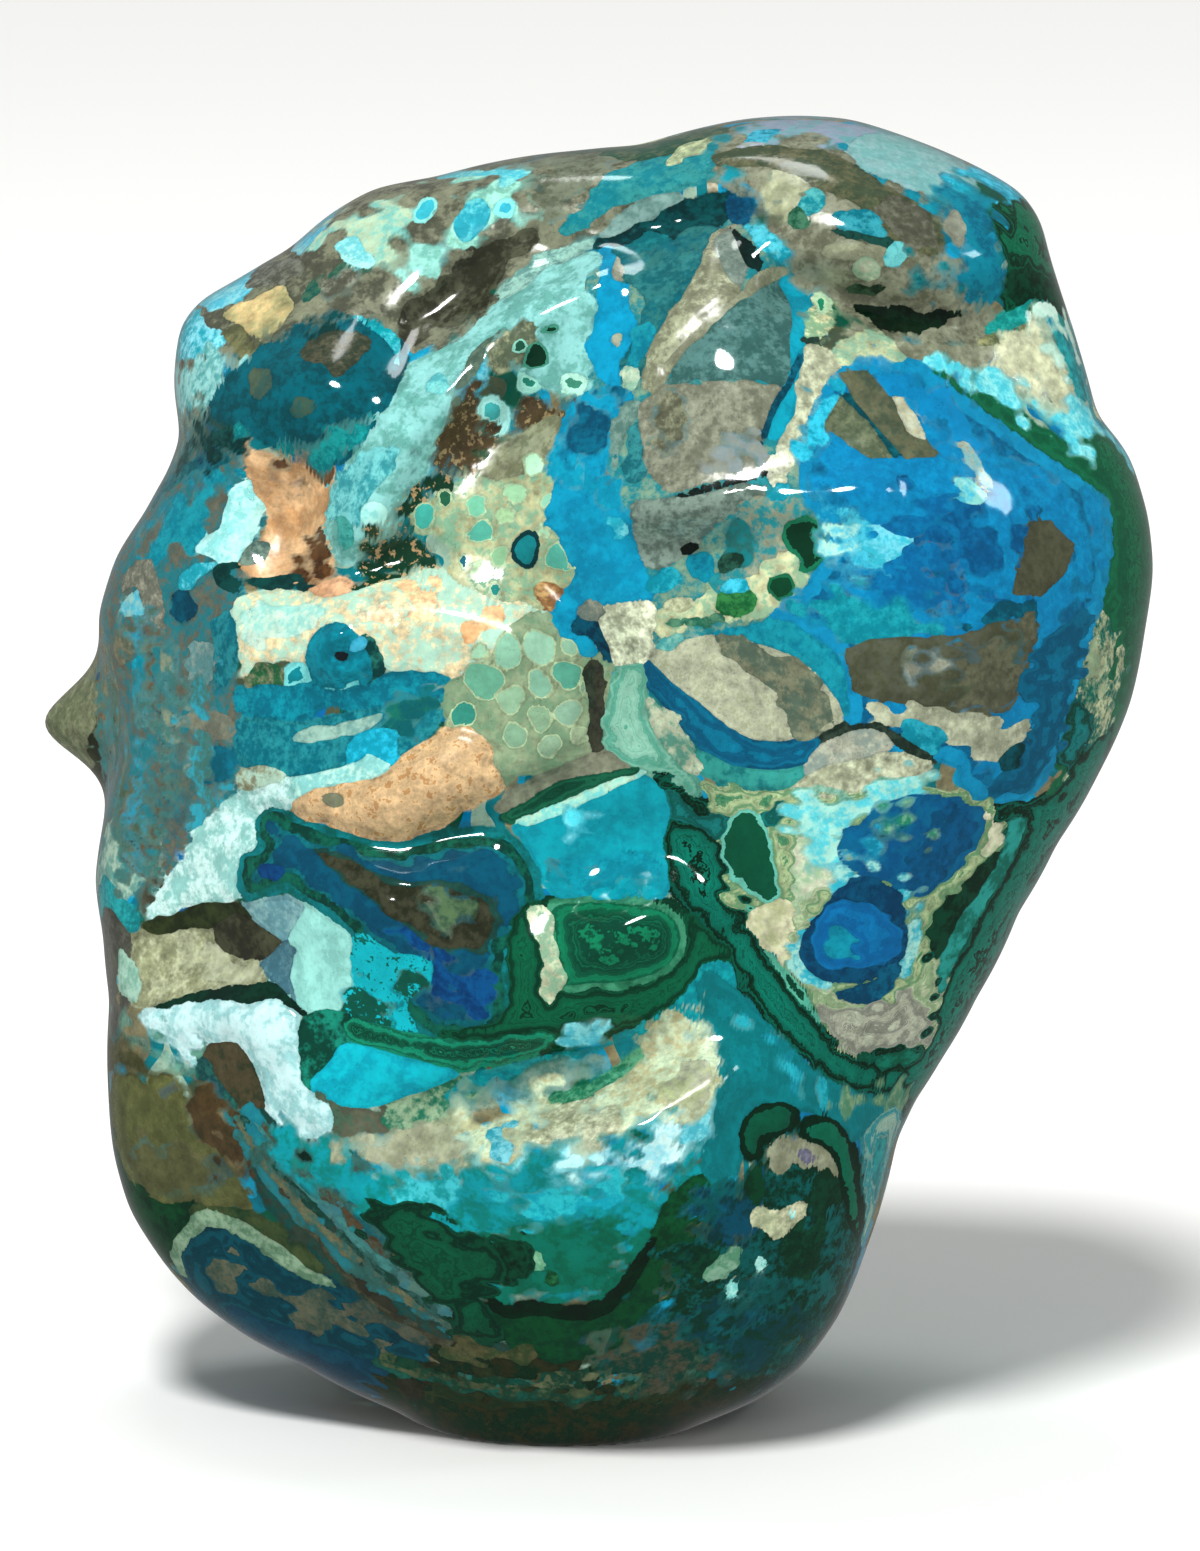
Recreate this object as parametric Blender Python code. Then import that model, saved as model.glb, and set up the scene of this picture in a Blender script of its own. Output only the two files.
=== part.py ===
# A polished chrysocolla specimen: one stone, about 77 mm tall, that stands on its own ground foot.
# Run with: blender --background --python part.py

import bmesh
import bpy
import numpy as np

# Driving sizes, in millimetres and degrees. The stone is drawn in its face plane, x to the right
# and z up the face, and the whole face leans back from upright by FACE_LEAN.
MM = 0.001
FACE_LEAN = 10.0
EYE_DISTANCE = 400.0
FRONT_DEPTH = 17.5
BACK_DEPTH = 16.5
FOOT_DROP = 37.8
CUBE_STEPS = 28

# How square the stone's section is from its face to its rim; 1 is an ellipse.
RIM_FULLNESS = 0.86
FACE_FULLNESS = 0.70
# The outline is read every OUTLINE_STEP degrees. Its corners are eased over CORNER_EASING degrees, and
# its notches, smoothed over NOTCH_SMOOTHING degrees, die away from the rim towards the middle of the face.
OUTLINE_STEP = 0.5
CORNER_EASING = 1.0
NOTCH_SMOOTHING = 16.0
NOTCH_DECAY = 5.0
# How fast the lumps and hollows die away as the face turns over the rim.
RELIEF_DECAY = 6.0
# The left half of the rim lies further back than the right half.
RIM_TWIST = -0.085
# How far the facets are gathered towards the face, where the detail is, and the rounding of ground edges.
FACE_GATHER = 0.22
EDGE_ROUNDING = 2.0

# The outline of the stone in its face plane, as x, z, anticlockwise from the right.
OUTLINE = (
    (33.2, 12.3), (32.9, 15.5), (31.8, 19.1), (30.9, 20.4), (29.8, 21.6), (28.8, 25.4), (27.7, 28.8),
    (26.8, 31.6), (26.6, 33.1), (25.3, 35.0), (23.3, 36.2), (21.0, 37.3), (17.9, 38.5), (15.0, 39.4),
    (11.9, 39.6), (8.7, 39.4), (5.4, 38.7), (2.4, 37.8), (-1.3, 37.5), (-5.9, 36.9), (-9.9, 35.9),
    (-13.6, 35.2), (-16.2, 33.7), (-18.6, 31.6), (-21.7, 29.8), (-24.0, 28.5), (-25.2, 27.0),
    (-25.6, 23.4), (-25.1, 20.4), (-25.9, 18.3), (-27.3, 15.8), (-29.0, 13.2), (-30.1, 9.6),
    (-29.8, 7.1), (-29.0, 4.5), (-28.9, 0.9), (-29.7, -2.4), (-30.3, -6.3), (-29.8, -9.6),
    (-29.4, -13.5), (-29.5, -18.9), (-29.2, -22.6), (-28.2, -26.1), (-25.9, -29.6), (-24.1, -31.5),
    (-21.1, -33.7), (-17.9, -35.3), (-15.5, -36.7), (-12.0, -38.2), (-9.6, -39.9), (-6.9, -41.6),
    (-3.0, -42.4), (0.6, -41.7), (3.4, -40.4), (6.0, -38.9), (9.4, -37.5), (12.0, -35.6), (14.4, -32.3),
    (16.0, -28.3), (17.1, -24.9), (17.8, -21.8), (18.9, -19.5), (20.5, -17.0), (22.6, -13.3), (25.1, -8.2),
    (27.4, -4.1), (29.9, 0.1), (31.8, 4.3), (32.7, 8.8),
)

# Ground flats of the face: name, x, z and depth of a point on the edge, the way the flat falls
# in degrees from +x, and how steeply it falls back.
FACE_FLATS = (
    ("lower left flat", -18.0, -24.4, -12.5, 228, 1.15),
    ("shoulder flat", -10.0, 27.6, -11.5, 114, 0.95),
    ("left flank", -21.8, 2.0, -13.0, 182, 1.25),
    ("under flat", 0.0, -34.8, -13.5, 272, 1.5),
    ("right flank", 23.0, 4.0, -16.0, -8, 0.9),
)
BACK_FLATS = (
    ("back left flat", -20.0, 10.0, -11.0, 160, 1.1),
    ("back lower flat", 12.0, -31.0, -14.5, 300, 1.0),
    ("back upper flat", 12.0, 28.0, -12.0, 70, 1.1),
)

# Rounded lumps and hollows of the face: name, centre x, z, half-lengths along and across,
# turn in degrees, and height out of the face (below zero is a hollow).
FACE_LUMPS = (
    ("azure lobe", 19.8, 9.5, 13.0, 14.0, 0, 4.6),
    ("top knob", 16.8, 34.6, 9.0, 4.2, -25, 4.2),
    ("teal boulder", -17.4, 23.7, 5.0, 4.0, 15, 4.4),
    ("tan hollow", -18.6, 15.6, 2.8, 4.2, 0, -3.0),
    ("shoulder valley", -8.4, 28.8, 7.0, 1.8, 38, -2.0),
    ("brown recess", -5.4, 20.7, 5.5, 2.4, 42, -2.2),
    ("green recess", -12.0, 13.2, 4.2, 1.8, 12, -1.3),
    ("bubble hollow", -5.4, 13.2, 4.6, 3.4, 0, -0.9),
    ("tan patch", -11.4, -0.9, 6.0, 2.4, 22, 1.2),
    ("leaf nodule", -12.0, -8.4, 7.0, 4.2, -28, 2.8),
    ("cyan saddle", 0.6, -4.2, 5.0, 3.8, 15, -2.6),
    ("green pod", 1.2, -9.3, 5.0, 2.2, 22, 2.0),
    ("cream slope", -2.4, -18.0, 9.5, 2.4, 17, -2.6),
    ("belly", 2.4, -26.4, 12.5, 9.0, 12, 3.8),
    ("lower left swell", -20.4, -27.0, 9.0, 4.0, -38, 1.2),
    ("olive pocket", -22.5, -10.5, 4.6, 2.2, 0, -1.8),
    ("cream notch", 26.1, 24.3, 4.0, 5.0, 35, -3.6),
    ("clast table", 7.2, 24.0, 5.5, 7.5, -8, 2.2),
    ("taupe dip", 8.7, 5.4, 6.0, 3.0, -38, -1.2),
    ("waist", 17.4, -18.6, 5.5, 3.0, -35, -2.2),
    ("azurite boss", 16.8, -6.0, 7.0, 7.0, 0, 1.4),
    ("disc boss", -15.3, 7.2, 2.4, 2.2, 0, 1.1),
)

# Long ridges and furrows of the face: name, half-width, height, then points x, z along the crest.
FACE_FOLDS = (
    ("pale ridge", 1.8, 1.7, ((-15.0, 14.4), (-11.4, 20.4), (-6.0, 26.4), (-0.6, 30.0))),
    ("pale ledge", 2.2, 1.2, ((-21.6, 8.0), (-15.0, 9.6), (-7.8, 9.0), (-5.4, 8.4))),
    ("central crease", 1.8, -1.2, ((-3.0, 11.4), (0.0, 8.4), (0.7, 4.5), (0.0, 0.6), (-3.6, -1.2))),
    ("leaf furrow", 1.4, -1.2, ((-21.0, -2.4), (-15.6, -3.6), (-12.0, -4.2), (-7.2, -3.0))),
    ("white ridge", 2.1, 1.5, ((-27.6, -14.7), (-22.2, -13.8), (-18.9, -16.5), (-15.0, -22.2))),
    ("valley", 1.7, -2.8, ((11.4, 29.4), (16.8, 28.0), (21.6, 27.3), (26.4, 28.8), (30.0, 29.4))),
    ("crest", 1.8, 1.2, ((1.8, 15.9), (6.0, 16.2), (11.4, 16.5), (16.2, 17.1))),
    ("undercut", 1.7, -1.1, ((2.4, 13.8), (5.4, 13.8), (8.4, 14.7))),
    ("fissure", 1.7, -1.9, ((-2.4, 31.0), (0.0, 32.2), (3.6, 32.7), (8.7, 34.2))),
    ("belly crest", 2.0, 1.6, ((-7.2, -23.4), (-1.8, -22.6), (3.0, -21.0), (6.6, -18.6))),
    ("lower left edge", 2.0, 1.4, ((-26.4, -19.2), (-22.8, -21.0), (-15.6, -24.6), (-10.8, -30.0),
                                   (-8.0, -33.0))),
    ("band furrow", 2.2, -1.1, ((1.2, 6.6), (4.2, 1.2), (5.4, -4.2), (9.6, -11.4))),
)

# Broad lumps and hollows of the back, in the same terms as the face.
BACK_LUMPS = (
    ("back boss", 9.0, 12.0, 13.0, 12.0, 20, 4.0),
    ("back saddle", -8.0, 8.0, 7.0, 12.0, 30, -2.6),
    ("back belly", -3.0, -30.0, 13.0, 12.0, -10, 5.0),
    ("back shoulder", -14.0, 24.0, 7.0, 6.0, 0, 2.2),
    ("back dimple", 16.0, -6.0, 5.0, 6.0, 40, -1.8),
)
BACK_FOLDS = (
    ("back furrow", 1.6, -1.6, ((-22.0, 16.0), (-12.0, 4.0), (-2.0, -4.0), (12.0, -12.0))),
    ("back ridge", 2.0, 1.4, ((-6.0, 32.0), (2.0, 22.0), (6.0, 10.0), (2.0, -2.0))),
)

# The nose: a spur that stands out behind the left rim.
NOSE_REACH = 4.6
NOSE_HEIGHT = 3.2
NOSE_HALF_HEIGHT = 2.9
NOSE_BEHIND_RIM = 5.0
NOSE_HALF_DEPTH = 4.6

STONE_COLOUR = (0.02, 0.25, 0.33, 1.0)
STONE_ROUGHNESS = 0.2


def outline_radius(angle):
    """Radius of the outline at each angle, its corners eased, and the same with its notches smoothed away."""
    points = np.array(OUTLINE)
    at = np.arctan2(points[:, 1], points[:, 0])
    order = np.argsort(at)
    fine = np.radians(np.arange(-180.0, 180.0, OUTLINE_STEP))
    radius = np.interp(fine, at[order], np.hypot(*points[order].T), period=2 * np.pi)

    def rounded(over_degrees):
        offset = (fine[None, :] - fine[:, None] + np.pi) % (2 * np.pi) - np.pi
        weight = np.exp(-0.5 * (offset / np.radians(over_degrees)) ** 2)
        return weight @ radius / weight.sum(axis=1)

    sharp = rounded(CORNER_EASING)
    soft = rounded(NOTCH_SMOOTHING)
    return np.interp(angle, fine, sharp, period=2 * np.pi), np.interp(angle, fine, soft, period=2 * np.pi)


def distance_to_line(x, z, line):
    """Shortest distance from each point to a line through the given points."""
    nearest = np.full(x.shape, np.inf)
    for (ax, az), (bx, bz) in zip(line, line[1:]):
        run_x, run_z = bx - ax, bz - az
        along = ((x - ax) * run_x + (z - az) * run_z) / (run_x**2 + run_z**2)
        along = np.clip(along, 0, 1)
        nearest = np.minimum(nearest, np.hypot(x - ax - along * run_x, z - az - along * run_z))
    return nearest


def ground_flats(x, z, depth, flats):
    """The depth with each flat ground off it, its edge rounded: depth is below zero on the face's side."""
    for _, edge_x, edge_z, edge_depth, falls_to, steepness in flats:
        cos, sin = np.cos(np.radians(falls_to)), np.sin(np.radians(falls_to))
        flat = edge_depth + steepness * ((x - edge_x) * cos + (z - edge_z) * sin)
        depth = 0.5 * (depth + flat + np.hypot(depth - flat, EDGE_ROUNDING))
    return depth


def relief(x, z, lumps, folds):
    """Height of a side's lumps and folds: a lump is a bell over an ellipse, a fold a bell across its line."""
    height = np.zeros(x.shape)
    for _, centre_x, centre_z, along, across, turn, rise in lumps:
        cos, sin = np.cos(np.radians(turn)), np.sin(np.radians(turn))
        u = ((x - centre_x) * cos + (z - centre_z) * sin) / along
        v = ((z - centre_z) * cos - (x - centre_x) * sin) / across
        height += rise * np.exp(-(u**2 + v**2))
    for _, half_width, rise, line in folds:
        height += rise * np.exp(-((distance_to_line(x, z, line) / half_width) ** 2))
    return height


def stone_surface(directions):
    """The stone's surface in each direction from its middle: the outline swept to the face and the back
    by a squared-off ellipse, with each side's relief raised along the depth."""
    across = np.hypot(directions[:, 0], directions[:, 2])
    angle = np.arctan2(directions[:, 2], directions[:, 0])
    sharp, soft = outline_radius(angle)
    reach = across**RIM_FULLNESS
    radius = reach * (soft + (sharp - soft) * reach**NOTCH_DECAY)
    x = radius * np.cos(angle)
    z = radius * np.sin(angle)

    on_face = directions[:, 1] < 0
    fade = 1 - reach**RELIEF_DECAY
    swell = np.abs(directions[:, 1]) ** FACE_FULLNESS
    face = -FRONT_DEPTH * swell
    face_cut = ground_flats(x, z, face, FACE_FLATS) - relief(x, z, FACE_LUMPS, FACE_FOLDS)
    back = -BACK_DEPTH * swell
    back_cut = ground_flats(x, z, back, BACK_FLATS) - relief(x, z, BACK_LUMPS, BACK_FOLDS)
    depth = np.where(on_face, face + fade * (face_cut - face), -back - fade * (back_cut - back))

    spur = np.exp(-(((z - NOSE_HEIGHT) / NOSE_HALF_HEIGHT) ** 2))
    spur = spur * np.exp(-(((depth - NOSE_BEHIND_RIM) / NOSE_HALF_DEPTH) ** 2)) * (x < 0)
    x = x - NOSE_REACH * spur
    depth = depth + RIM_TWIST * x

    # The outline was read along lines that meet at the eye, so what lies further back is larger.
    spread = 1 + depth / EYE_DISTANCE
    return x * spread, depth, z * spread


def stand_on_foot(x, depth, z):
    """Leans the face back about the x axis, and grinds the foot flat where the stone reaches the ground."""
    lean = np.radians(FACE_LEAN)
    y = depth * np.cos(lean) + z * np.sin(lean)
    height = z * np.cos(lean) - depth * np.sin(lean) + FOOT_DROP
    return np.column_stack([x, y, np.maximum(height, 0)])


def gathered(directions):
    """Directions turned towards the face (-y), most at the rim, so that its facets are the finer ones."""
    from_face = np.arccos(np.clip(-directions[:, 1], -1, 1))
    turned = from_face - FACE_GATHER * np.sin(from_face)
    around = directions[:, [0, 2]] / np.maximum(np.sin(from_face), 1e-9)[:, None]
    across = around * np.sin(turned)[:, None]
    return np.column_stack([across[:, 0], -np.cos(turned), across[:, 1]])


def make_stone():
    mesh = bpy.data.meshes.new("stone")
    shape = bmesh.new()
    bmesh.ops.create_cube(shape, size=2.0)
    bmesh.ops.subdivide_edges(shape, edges=shape.edges[:], cuts=CUBE_STEPS - 1, use_grid_fill=True)
    bmesh.ops.triangulate(shape, faces=shape.faces[:])
    corners = np.array([v.co for v in shape.verts])
    # Even steps in angle across each side of the cube keep the facets alike in size.
    corners = np.tan(corners * np.pi / 4)
    directions = corners / np.linalg.norm(corners, axis=1)[:, None]
    directions = gathered(directions)
    places = stand_on_foot(*stone_surface(directions)) * MM
    for vertex, place in zip(shape.verts, places):
        vertex.co = place
    bmesh.ops.recalc_face_normals(shape, faces=shape.faces[:])
    shape.to_mesh(mesh)
    shape.free()
    mesh.shade_smooth()
    return bpy.data.objects.new("stone", mesh)


def make_finish():
    material = bpy.data.materials.new("polished chrysocolla")
    material.use_nodes = True
    shader = material.node_tree.nodes["Principled BSDF"]
    shader.inputs["Base Color"].default_value = STONE_COLOUR
    shader.inputs["Roughness"].default_value = STONE_ROUGHNESS
    shader.inputs["Metallic"].default_value = 0.0
    return material


for leftover in list(bpy.data.objects):
    bpy.data.objects.remove(leftover)
stone = make_stone()
stone.data.materials.append(make_finish())
bpy.context.scene.collection.objects.link(stone)
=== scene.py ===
import math

import bpy
import mathutils
import numpy as np
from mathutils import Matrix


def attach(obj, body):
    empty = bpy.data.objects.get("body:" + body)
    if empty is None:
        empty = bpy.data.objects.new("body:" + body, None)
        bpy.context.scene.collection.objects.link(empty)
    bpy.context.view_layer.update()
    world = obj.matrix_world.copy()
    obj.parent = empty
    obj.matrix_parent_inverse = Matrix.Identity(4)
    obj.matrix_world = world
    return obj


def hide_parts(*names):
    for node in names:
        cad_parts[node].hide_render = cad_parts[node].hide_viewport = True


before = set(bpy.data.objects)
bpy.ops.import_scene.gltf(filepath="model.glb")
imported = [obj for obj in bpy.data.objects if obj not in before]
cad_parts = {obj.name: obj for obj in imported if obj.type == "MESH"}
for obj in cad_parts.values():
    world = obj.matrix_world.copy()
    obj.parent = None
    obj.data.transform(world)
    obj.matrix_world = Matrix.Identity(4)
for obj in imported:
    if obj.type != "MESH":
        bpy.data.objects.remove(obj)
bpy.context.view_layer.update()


# The camera. The stone was photographed from straight in front of its leaning face, close enough for the
# picture to have some perspective. The face plane stands over the foot, and its middle is the picture's
# middle.
MM = 0.001
FACE_LEAN = 10.0
FACE_MIDDLE_HEIGHT = 37.8
EYE_DISTANCE = 400.0
PHOTO_WIDTH, PHOTO_HEIGHT = 1200, 1551
PHOTO_PIXEL = 0.06
SENSOR = 36.0

lean = math.radians(FACE_LEAN)
camera = bpy.data.objects.new("camera", bpy.data.cameras.new("camera"))
bpy.context.scene.collection.objects.link(camera)
camera.data.sensor_width = SENSOR
camera.data.lens = SENSOR * EYE_DISTANCE / (PHOTO_HEIGHT * PHOTO_PIXEL)
camera.data.clip_start = 0.01
camera.location = (
    0,
    -EYE_DISTANCE * MM * math.cos(lean),
    (FACE_MIDDLE_HEIGHT + EYE_DISTANCE * math.sin(lean)) * MM,
)
camera.rotation_euler = (math.radians(90) - lean, 0, 0)
bpy.context.scene.camera = camera


# The stone. One piece of chrysocolla, malachite and azurite with broken bits of brown rock, ground to a
# freeform with soft lumps and hollows, and tumbled to a high polish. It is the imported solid's form, drawn
# finer. x runs right, z up the face, depth away from the eye, in mm.
FRONT_DEPTH = 17.5
BACK_DEPTH = 16.5
RIM_FULLNESS = 0.86
FACE_FULLNESS = 0.70
NOTCH_DECAY = 5.0
RELIEF_DECAY = 6.0
RIM_TWIST = -0.085
EDGE_ROUNDING = 2.0
OUTLINE_STEP = 0.5
CORNER_EASING = 1.0
NOTCH_SMOOTHING = 16.0
NOSE_REACH = 4.6
NOSE_HEIGHT = 3.2
NOSE_HALF_HEIGHT = 2.9
NOSE_BEHIND_RIM = 5.0
NOSE_HALF_DEPTH = 4.6
# The outline of the stone in its face plane, as x, z, anticlockwise from the right.
OUTLINE = (
    (33.2, 12.3), (32.9, 15.5), (31.8, 19.1), (30.9, 20.4), (29.8, 21.6), (28.8, 25.4), (27.7, 28.8),
    (26.8, 31.6), (26.6, 33.1), (25.3, 35.0), (23.3, 36.2), (21.0, 37.3), (17.9, 38.5), (15.0, 39.4),
    (11.9, 39.6), (8.7, 39.4), (5.4, 38.7), (2.4, 37.8), (-1.3, 37.5), (-5.9, 36.9), (-9.9, 35.9),
    (-13.6, 35.2), (-16.2, 33.7), (-18.6, 31.6), (-21.7, 29.8), (-24.0, 28.5), (-25.2, 27.0),
    (-25.6, 23.4), (-25.1, 20.4), (-25.9, 18.3), (-27.3, 15.8), (-29.0, 13.2), (-30.1, 9.6),
    (-29.8, 7.1), (-29.0, 4.5), (-28.9, 0.9), (-29.7, -2.4), (-30.3, -6.3), (-29.8, -9.6),
    (-29.4, -13.5), (-29.5, -18.9), (-29.2, -22.6), (-28.2, -26.1), (-25.9, -29.6), (-24.1, -31.5),
    (-21.1, -33.7), (-17.9, -35.3), (-15.5, -36.7), (-12.0, -38.2), (-9.6, -39.9), (-6.9, -41.6),
    (-3.0, -42.4), (0.6, -41.7), (3.4, -40.4), (6.0, -38.9), (9.4, -37.5), (12.0, -35.6), (14.4, -32.3),
    (16.0, -28.3), (17.1, -24.9), (17.8, -21.8), (18.9, -19.5), (20.5, -17.0), (22.6, -13.3), (25.1, -8.2),
    (27.4, -4.1), (29.9, 0.1), (31.8, 4.3), (32.7, 8.8),
)

# Ground flats of the face: name, x, z and depth of a point on the edge, the way the flat falls
# in degrees from +x, and how steeply it falls back.
FACE_FLATS = (
    ("lower left flat", -18.0, -24.4, -12.5, 228, 1.15),
    ("shoulder flat", -10.0, 27.6, -11.5, 114, 0.95),
    ("left flank", -21.8, 2.0, -13.0, 182, 1.25),
    ("under flat", 0.0, -34.8, -13.5, 272, 1.5),
    ("right flank", 23.0, 4.0, -16.0, -8, 0.9),
)
BACK_FLATS = (
    ("back left flat", -20.0, 10.0, -11.0, 160, 1.1),
    ("back lower flat", 12.0, -31.0, -14.5, 300, 1.0),
    ("back upper flat", 12.0, 28.0, -12.0, 70, 1.1),
)

# Rounded lumps and hollows of the face: name, centre x, z, half-lengths along and across,
# turn in degrees, and height out of the face (below zero is a hollow).
FACE_LUMPS = (
    ("azure lobe", 19.8, 9.5, 13.0, 14.0, 0, 4.6),
    ("top knob", 16.8, 34.6, 9.0, 4.2, -25, 4.2),
    ("teal boulder", -17.4, 23.7, 5.0, 4.0, 15, 4.4),
    ("tan hollow", -18.6, 15.6, 2.8, 4.2, 0, -3.0),
    ("shoulder valley", -8.4, 28.8, 7.0, 1.8, 38, -2.0),
    ("brown recess", -5.4, 20.7, 5.5, 2.4, 42, -2.2),
    ("green recess", -12.0, 13.2, 4.2, 1.8, 12, -1.3),
    ("bubble hollow", -5.4, 13.2, 4.6, 3.4, 0, -0.9),
    ("tan patch", -11.4, -0.9, 6.0, 2.4, 22, 1.2),
    ("leaf nodule", -12.0, -8.4, 7.0, 4.2, -28, 2.8),
    ("cyan saddle", 0.6, -4.2, 5.0, 3.8, 15, -2.6),
    ("green pod", 1.2, -9.3, 5.0, 2.2, 22, 2.0),
    ("cream slope", -2.4, -18.0, 9.5, 2.4, 17, -2.6),
    ("belly", 2.4, -26.4, 12.5, 9.0, 12, 3.8),
    ("lower left swell", -20.4, -27.0, 9.0, 4.0, -38, 1.2),
    ("olive pocket", -22.5, -10.5, 4.6, 2.2, 0, -1.8),
    ("cream notch", 26.1, 24.3, 4.0, 5.0, 35, -3.6),
    ("clast table", 7.2, 24.0, 5.5, 7.5, -8, 2.2),
    ("taupe dip", 8.7, 5.4, 6.0, 3.0, -38, -1.2),
    ("waist", 17.4, -18.6, 5.5, 3.0, -35, -2.2),
    ("azurite boss", 16.8, -6.0, 7.0, 7.0, 0, 1.4),
    ("disc boss", -15.3, 7.2, 2.4, 2.2, 0, 1.1),
)

# Long ridges and furrows of the face: name, half-width, height, then points x, z along the crest.
FACE_FOLDS = (
    ("pale ridge", 1.8, 1.7, ((-15.0, 14.4), (-11.4, 20.4), (-6.0, 26.4), (-0.6, 30.0))),
    ("pale ledge", 2.2, 1.2, ((-21.6, 8.0), (-15.0, 9.6), (-7.8, 9.0), (-5.4, 8.4))),
    ("central crease", 1.8, -1.2, ((-3.0, 11.4), (0.0, 8.4), (0.7, 4.5), (0.0, 0.6), (-3.6, -1.2))),
    ("leaf furrow", 1.4, -1.2, ((-21.0, -2.4), (-15.6, -3.6), (-12.0, -4.2), (-7.2, -3.0))),
    ("white ridge", 2.1, 1.5, ((-27.6, -14.7), (-22.2, -13.8), (-18.9, -16.5), (-15.0, -22.2))),
    ("valley", 1.7, -2.8, ((11.4, 29.4), (16.8, 28.0), (21.6, 27.3), (26.4, 28.8), (30.0, 29.4))),
    ("crest", 1.8, 1.2, ((1.8, 15.9), (6.0, 16.2), (11.4, 16.5), (16.2, 17.1))),
    ("undercut", 1.7, -1.1, ((2.4, 13.8), (5.4, 13.8), (8.4, 14.7))),
    ("fissure", 1.7, -1.9, ((-2.4, 31.0), (0.0, 32.2), (3.6, 32.7), (8.7, 34.2))),
    ("belly crest", 2.0, 1.6, ((-7.2, -23.4), (-1.8, -22.6), (3.0, -21.0), (6.6, -18.6))),
    ("lower left edge", 2.0, 1.4, ((-26.4, -19.2), (-22.8, -21.0), (-15.6, -24.6), (-10.8, -30.0),
                                   (-8.0, -33.0))),
    ("band furrow", 2.2, -1.1, ((1.2, 6.6), (4.2, 1.2), (5.4, -4.2), (9.6, -11.4))),
)

# Broad lumps and hollows of the back, in the same terms as the face.
BACK_LUMPS = (
    ("back boss", 9.0, 12.0, 13.0, 12.0, 20, 4.0),
    ("back saddle", -8.0, 8.0, 7.0, 12.0, 30, -2.6),
    ("back belly", -3.0, -30.0, 13.0, 12.0, -10, 5.0),
    ("back shoulder", -14.0, 24.0, 7.0, 6.0, 0, 2.2),
    ("back dimple", 16.0, -6.0, 5.0, 6.0, 40, -1.8),
)
BACK_FOLDS = (
    ("back furrow", 1.6, -1.6, ((-22.0, 16.0), (-12.0, 4.0), (-2.0, -4.0), (12.0, -12.0))),
    ("back ridge", 2.0, 1.4, ((-6.0, 32.0), (2.0, 22.0), (6.0, 10.0), (2.0, -2.0))),
)


def outline_radius(angle):
    """Radius of the outline at each angle, its corners eased, and the same with its notches smoothed away."""
    points = np.array(OUTLINE)
    at = np.arctan2(points[:, 1], points[:, 0])
    order = np.argsort(at)
    fine = np.radians(np.arange(-180.0, 180.0, OUTLINE_STEP))
    radius = np.interp(fine, at[order], np.hypot(*points[order].T), period=2 * np.pi)

    def rounded(over_degrees):
        offset = (fine[None, :] - fine[:, None] + np.pi) % (2 * np.pi) - np.pi
        weight = np.exp(-0.5 * (offset / np.radians(over_degrees)) ** 2)
        return weight @ radius / weight.sum(axis=1)

    sharp = rounded(CORNER_EASING)
    soft = rounded(NOTCH_SMOOTHING)
    return np.interp(angle, fine, sharp, period=2 * np.pi), np.interp(angle, fine, soft, period=2 * np.pi)


def distance_to_line(x, z, line):
    """Shortest distance from each point to a line through the given points."""
    nearest = np.full(x.shape, np.inf)
    for (ax, az), (bx, bz) in zip(line, line[1:]):
        run_x, run_z = bx - ax, bz - az
        along = ((x - ax) * run_x + (z - az) * run_z) / (run_x**2 + run_z**2)
        along = np.clip(along, 0, 1)
        nearest = np.minimum(nearest, np.hypot(x - ax - along * run_x, z - az - along * run_z))
    return nearest


def ground_flats(x, z, depth, flats):
    """The depth with each flat ground off it, its edge rounded: depth is below zero on the face's side."""
    for _, edge_x, edge_z, edge_depth, falls_to, steepness in flats:
        cos, sin = np.cos(np.radians(falls_to)), np.sin(np.radians(falls_to))
        flat = edge_depth + steepness * ((x - edge_x) * cos + (z - edge_z) * sin)
        depth = 0.5 * (depth + flat + np.hypot(depth - flat, EDGE_ROUNDING))
    return depth


def relief(x, z, lumps, folds):
    """Height of a side's lumps and folds: a lump is a bell over an ellipse, a fold a bell across its line."""
    height = np.zeros(x.shape)
    for _, centre_x, centre_z, along, across, turn, rise in lumps:
        cos, sin = np.cos(np.radians(turn)), np.sin(np.radians(turn))
        u = ((x - centre_x) * cos + (z - centre_z) * sin) / along
        v = ((z - centre_z) * cos - (x - centre_x) * sin) / across
        height += rise * np.exp(-(u**2 + v**2))
    for _, half_width, rise, line in folds:
        height += rise * np.exp(-((distance_to_line(x, z, line) / half_width) ** 2))
    return height


# The growths: every patch of mineral or rock in the polished face, each an outline read off the photograph,
# in its pixels, with the colour of the mineral and of what runs through it. A later growth lies over an
# earlier one.
CORNER_CUT = 0.25
DISC_SWELL = (0.12, 0.08)
FIBRE_TIP = 0.25
growths = []


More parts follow.
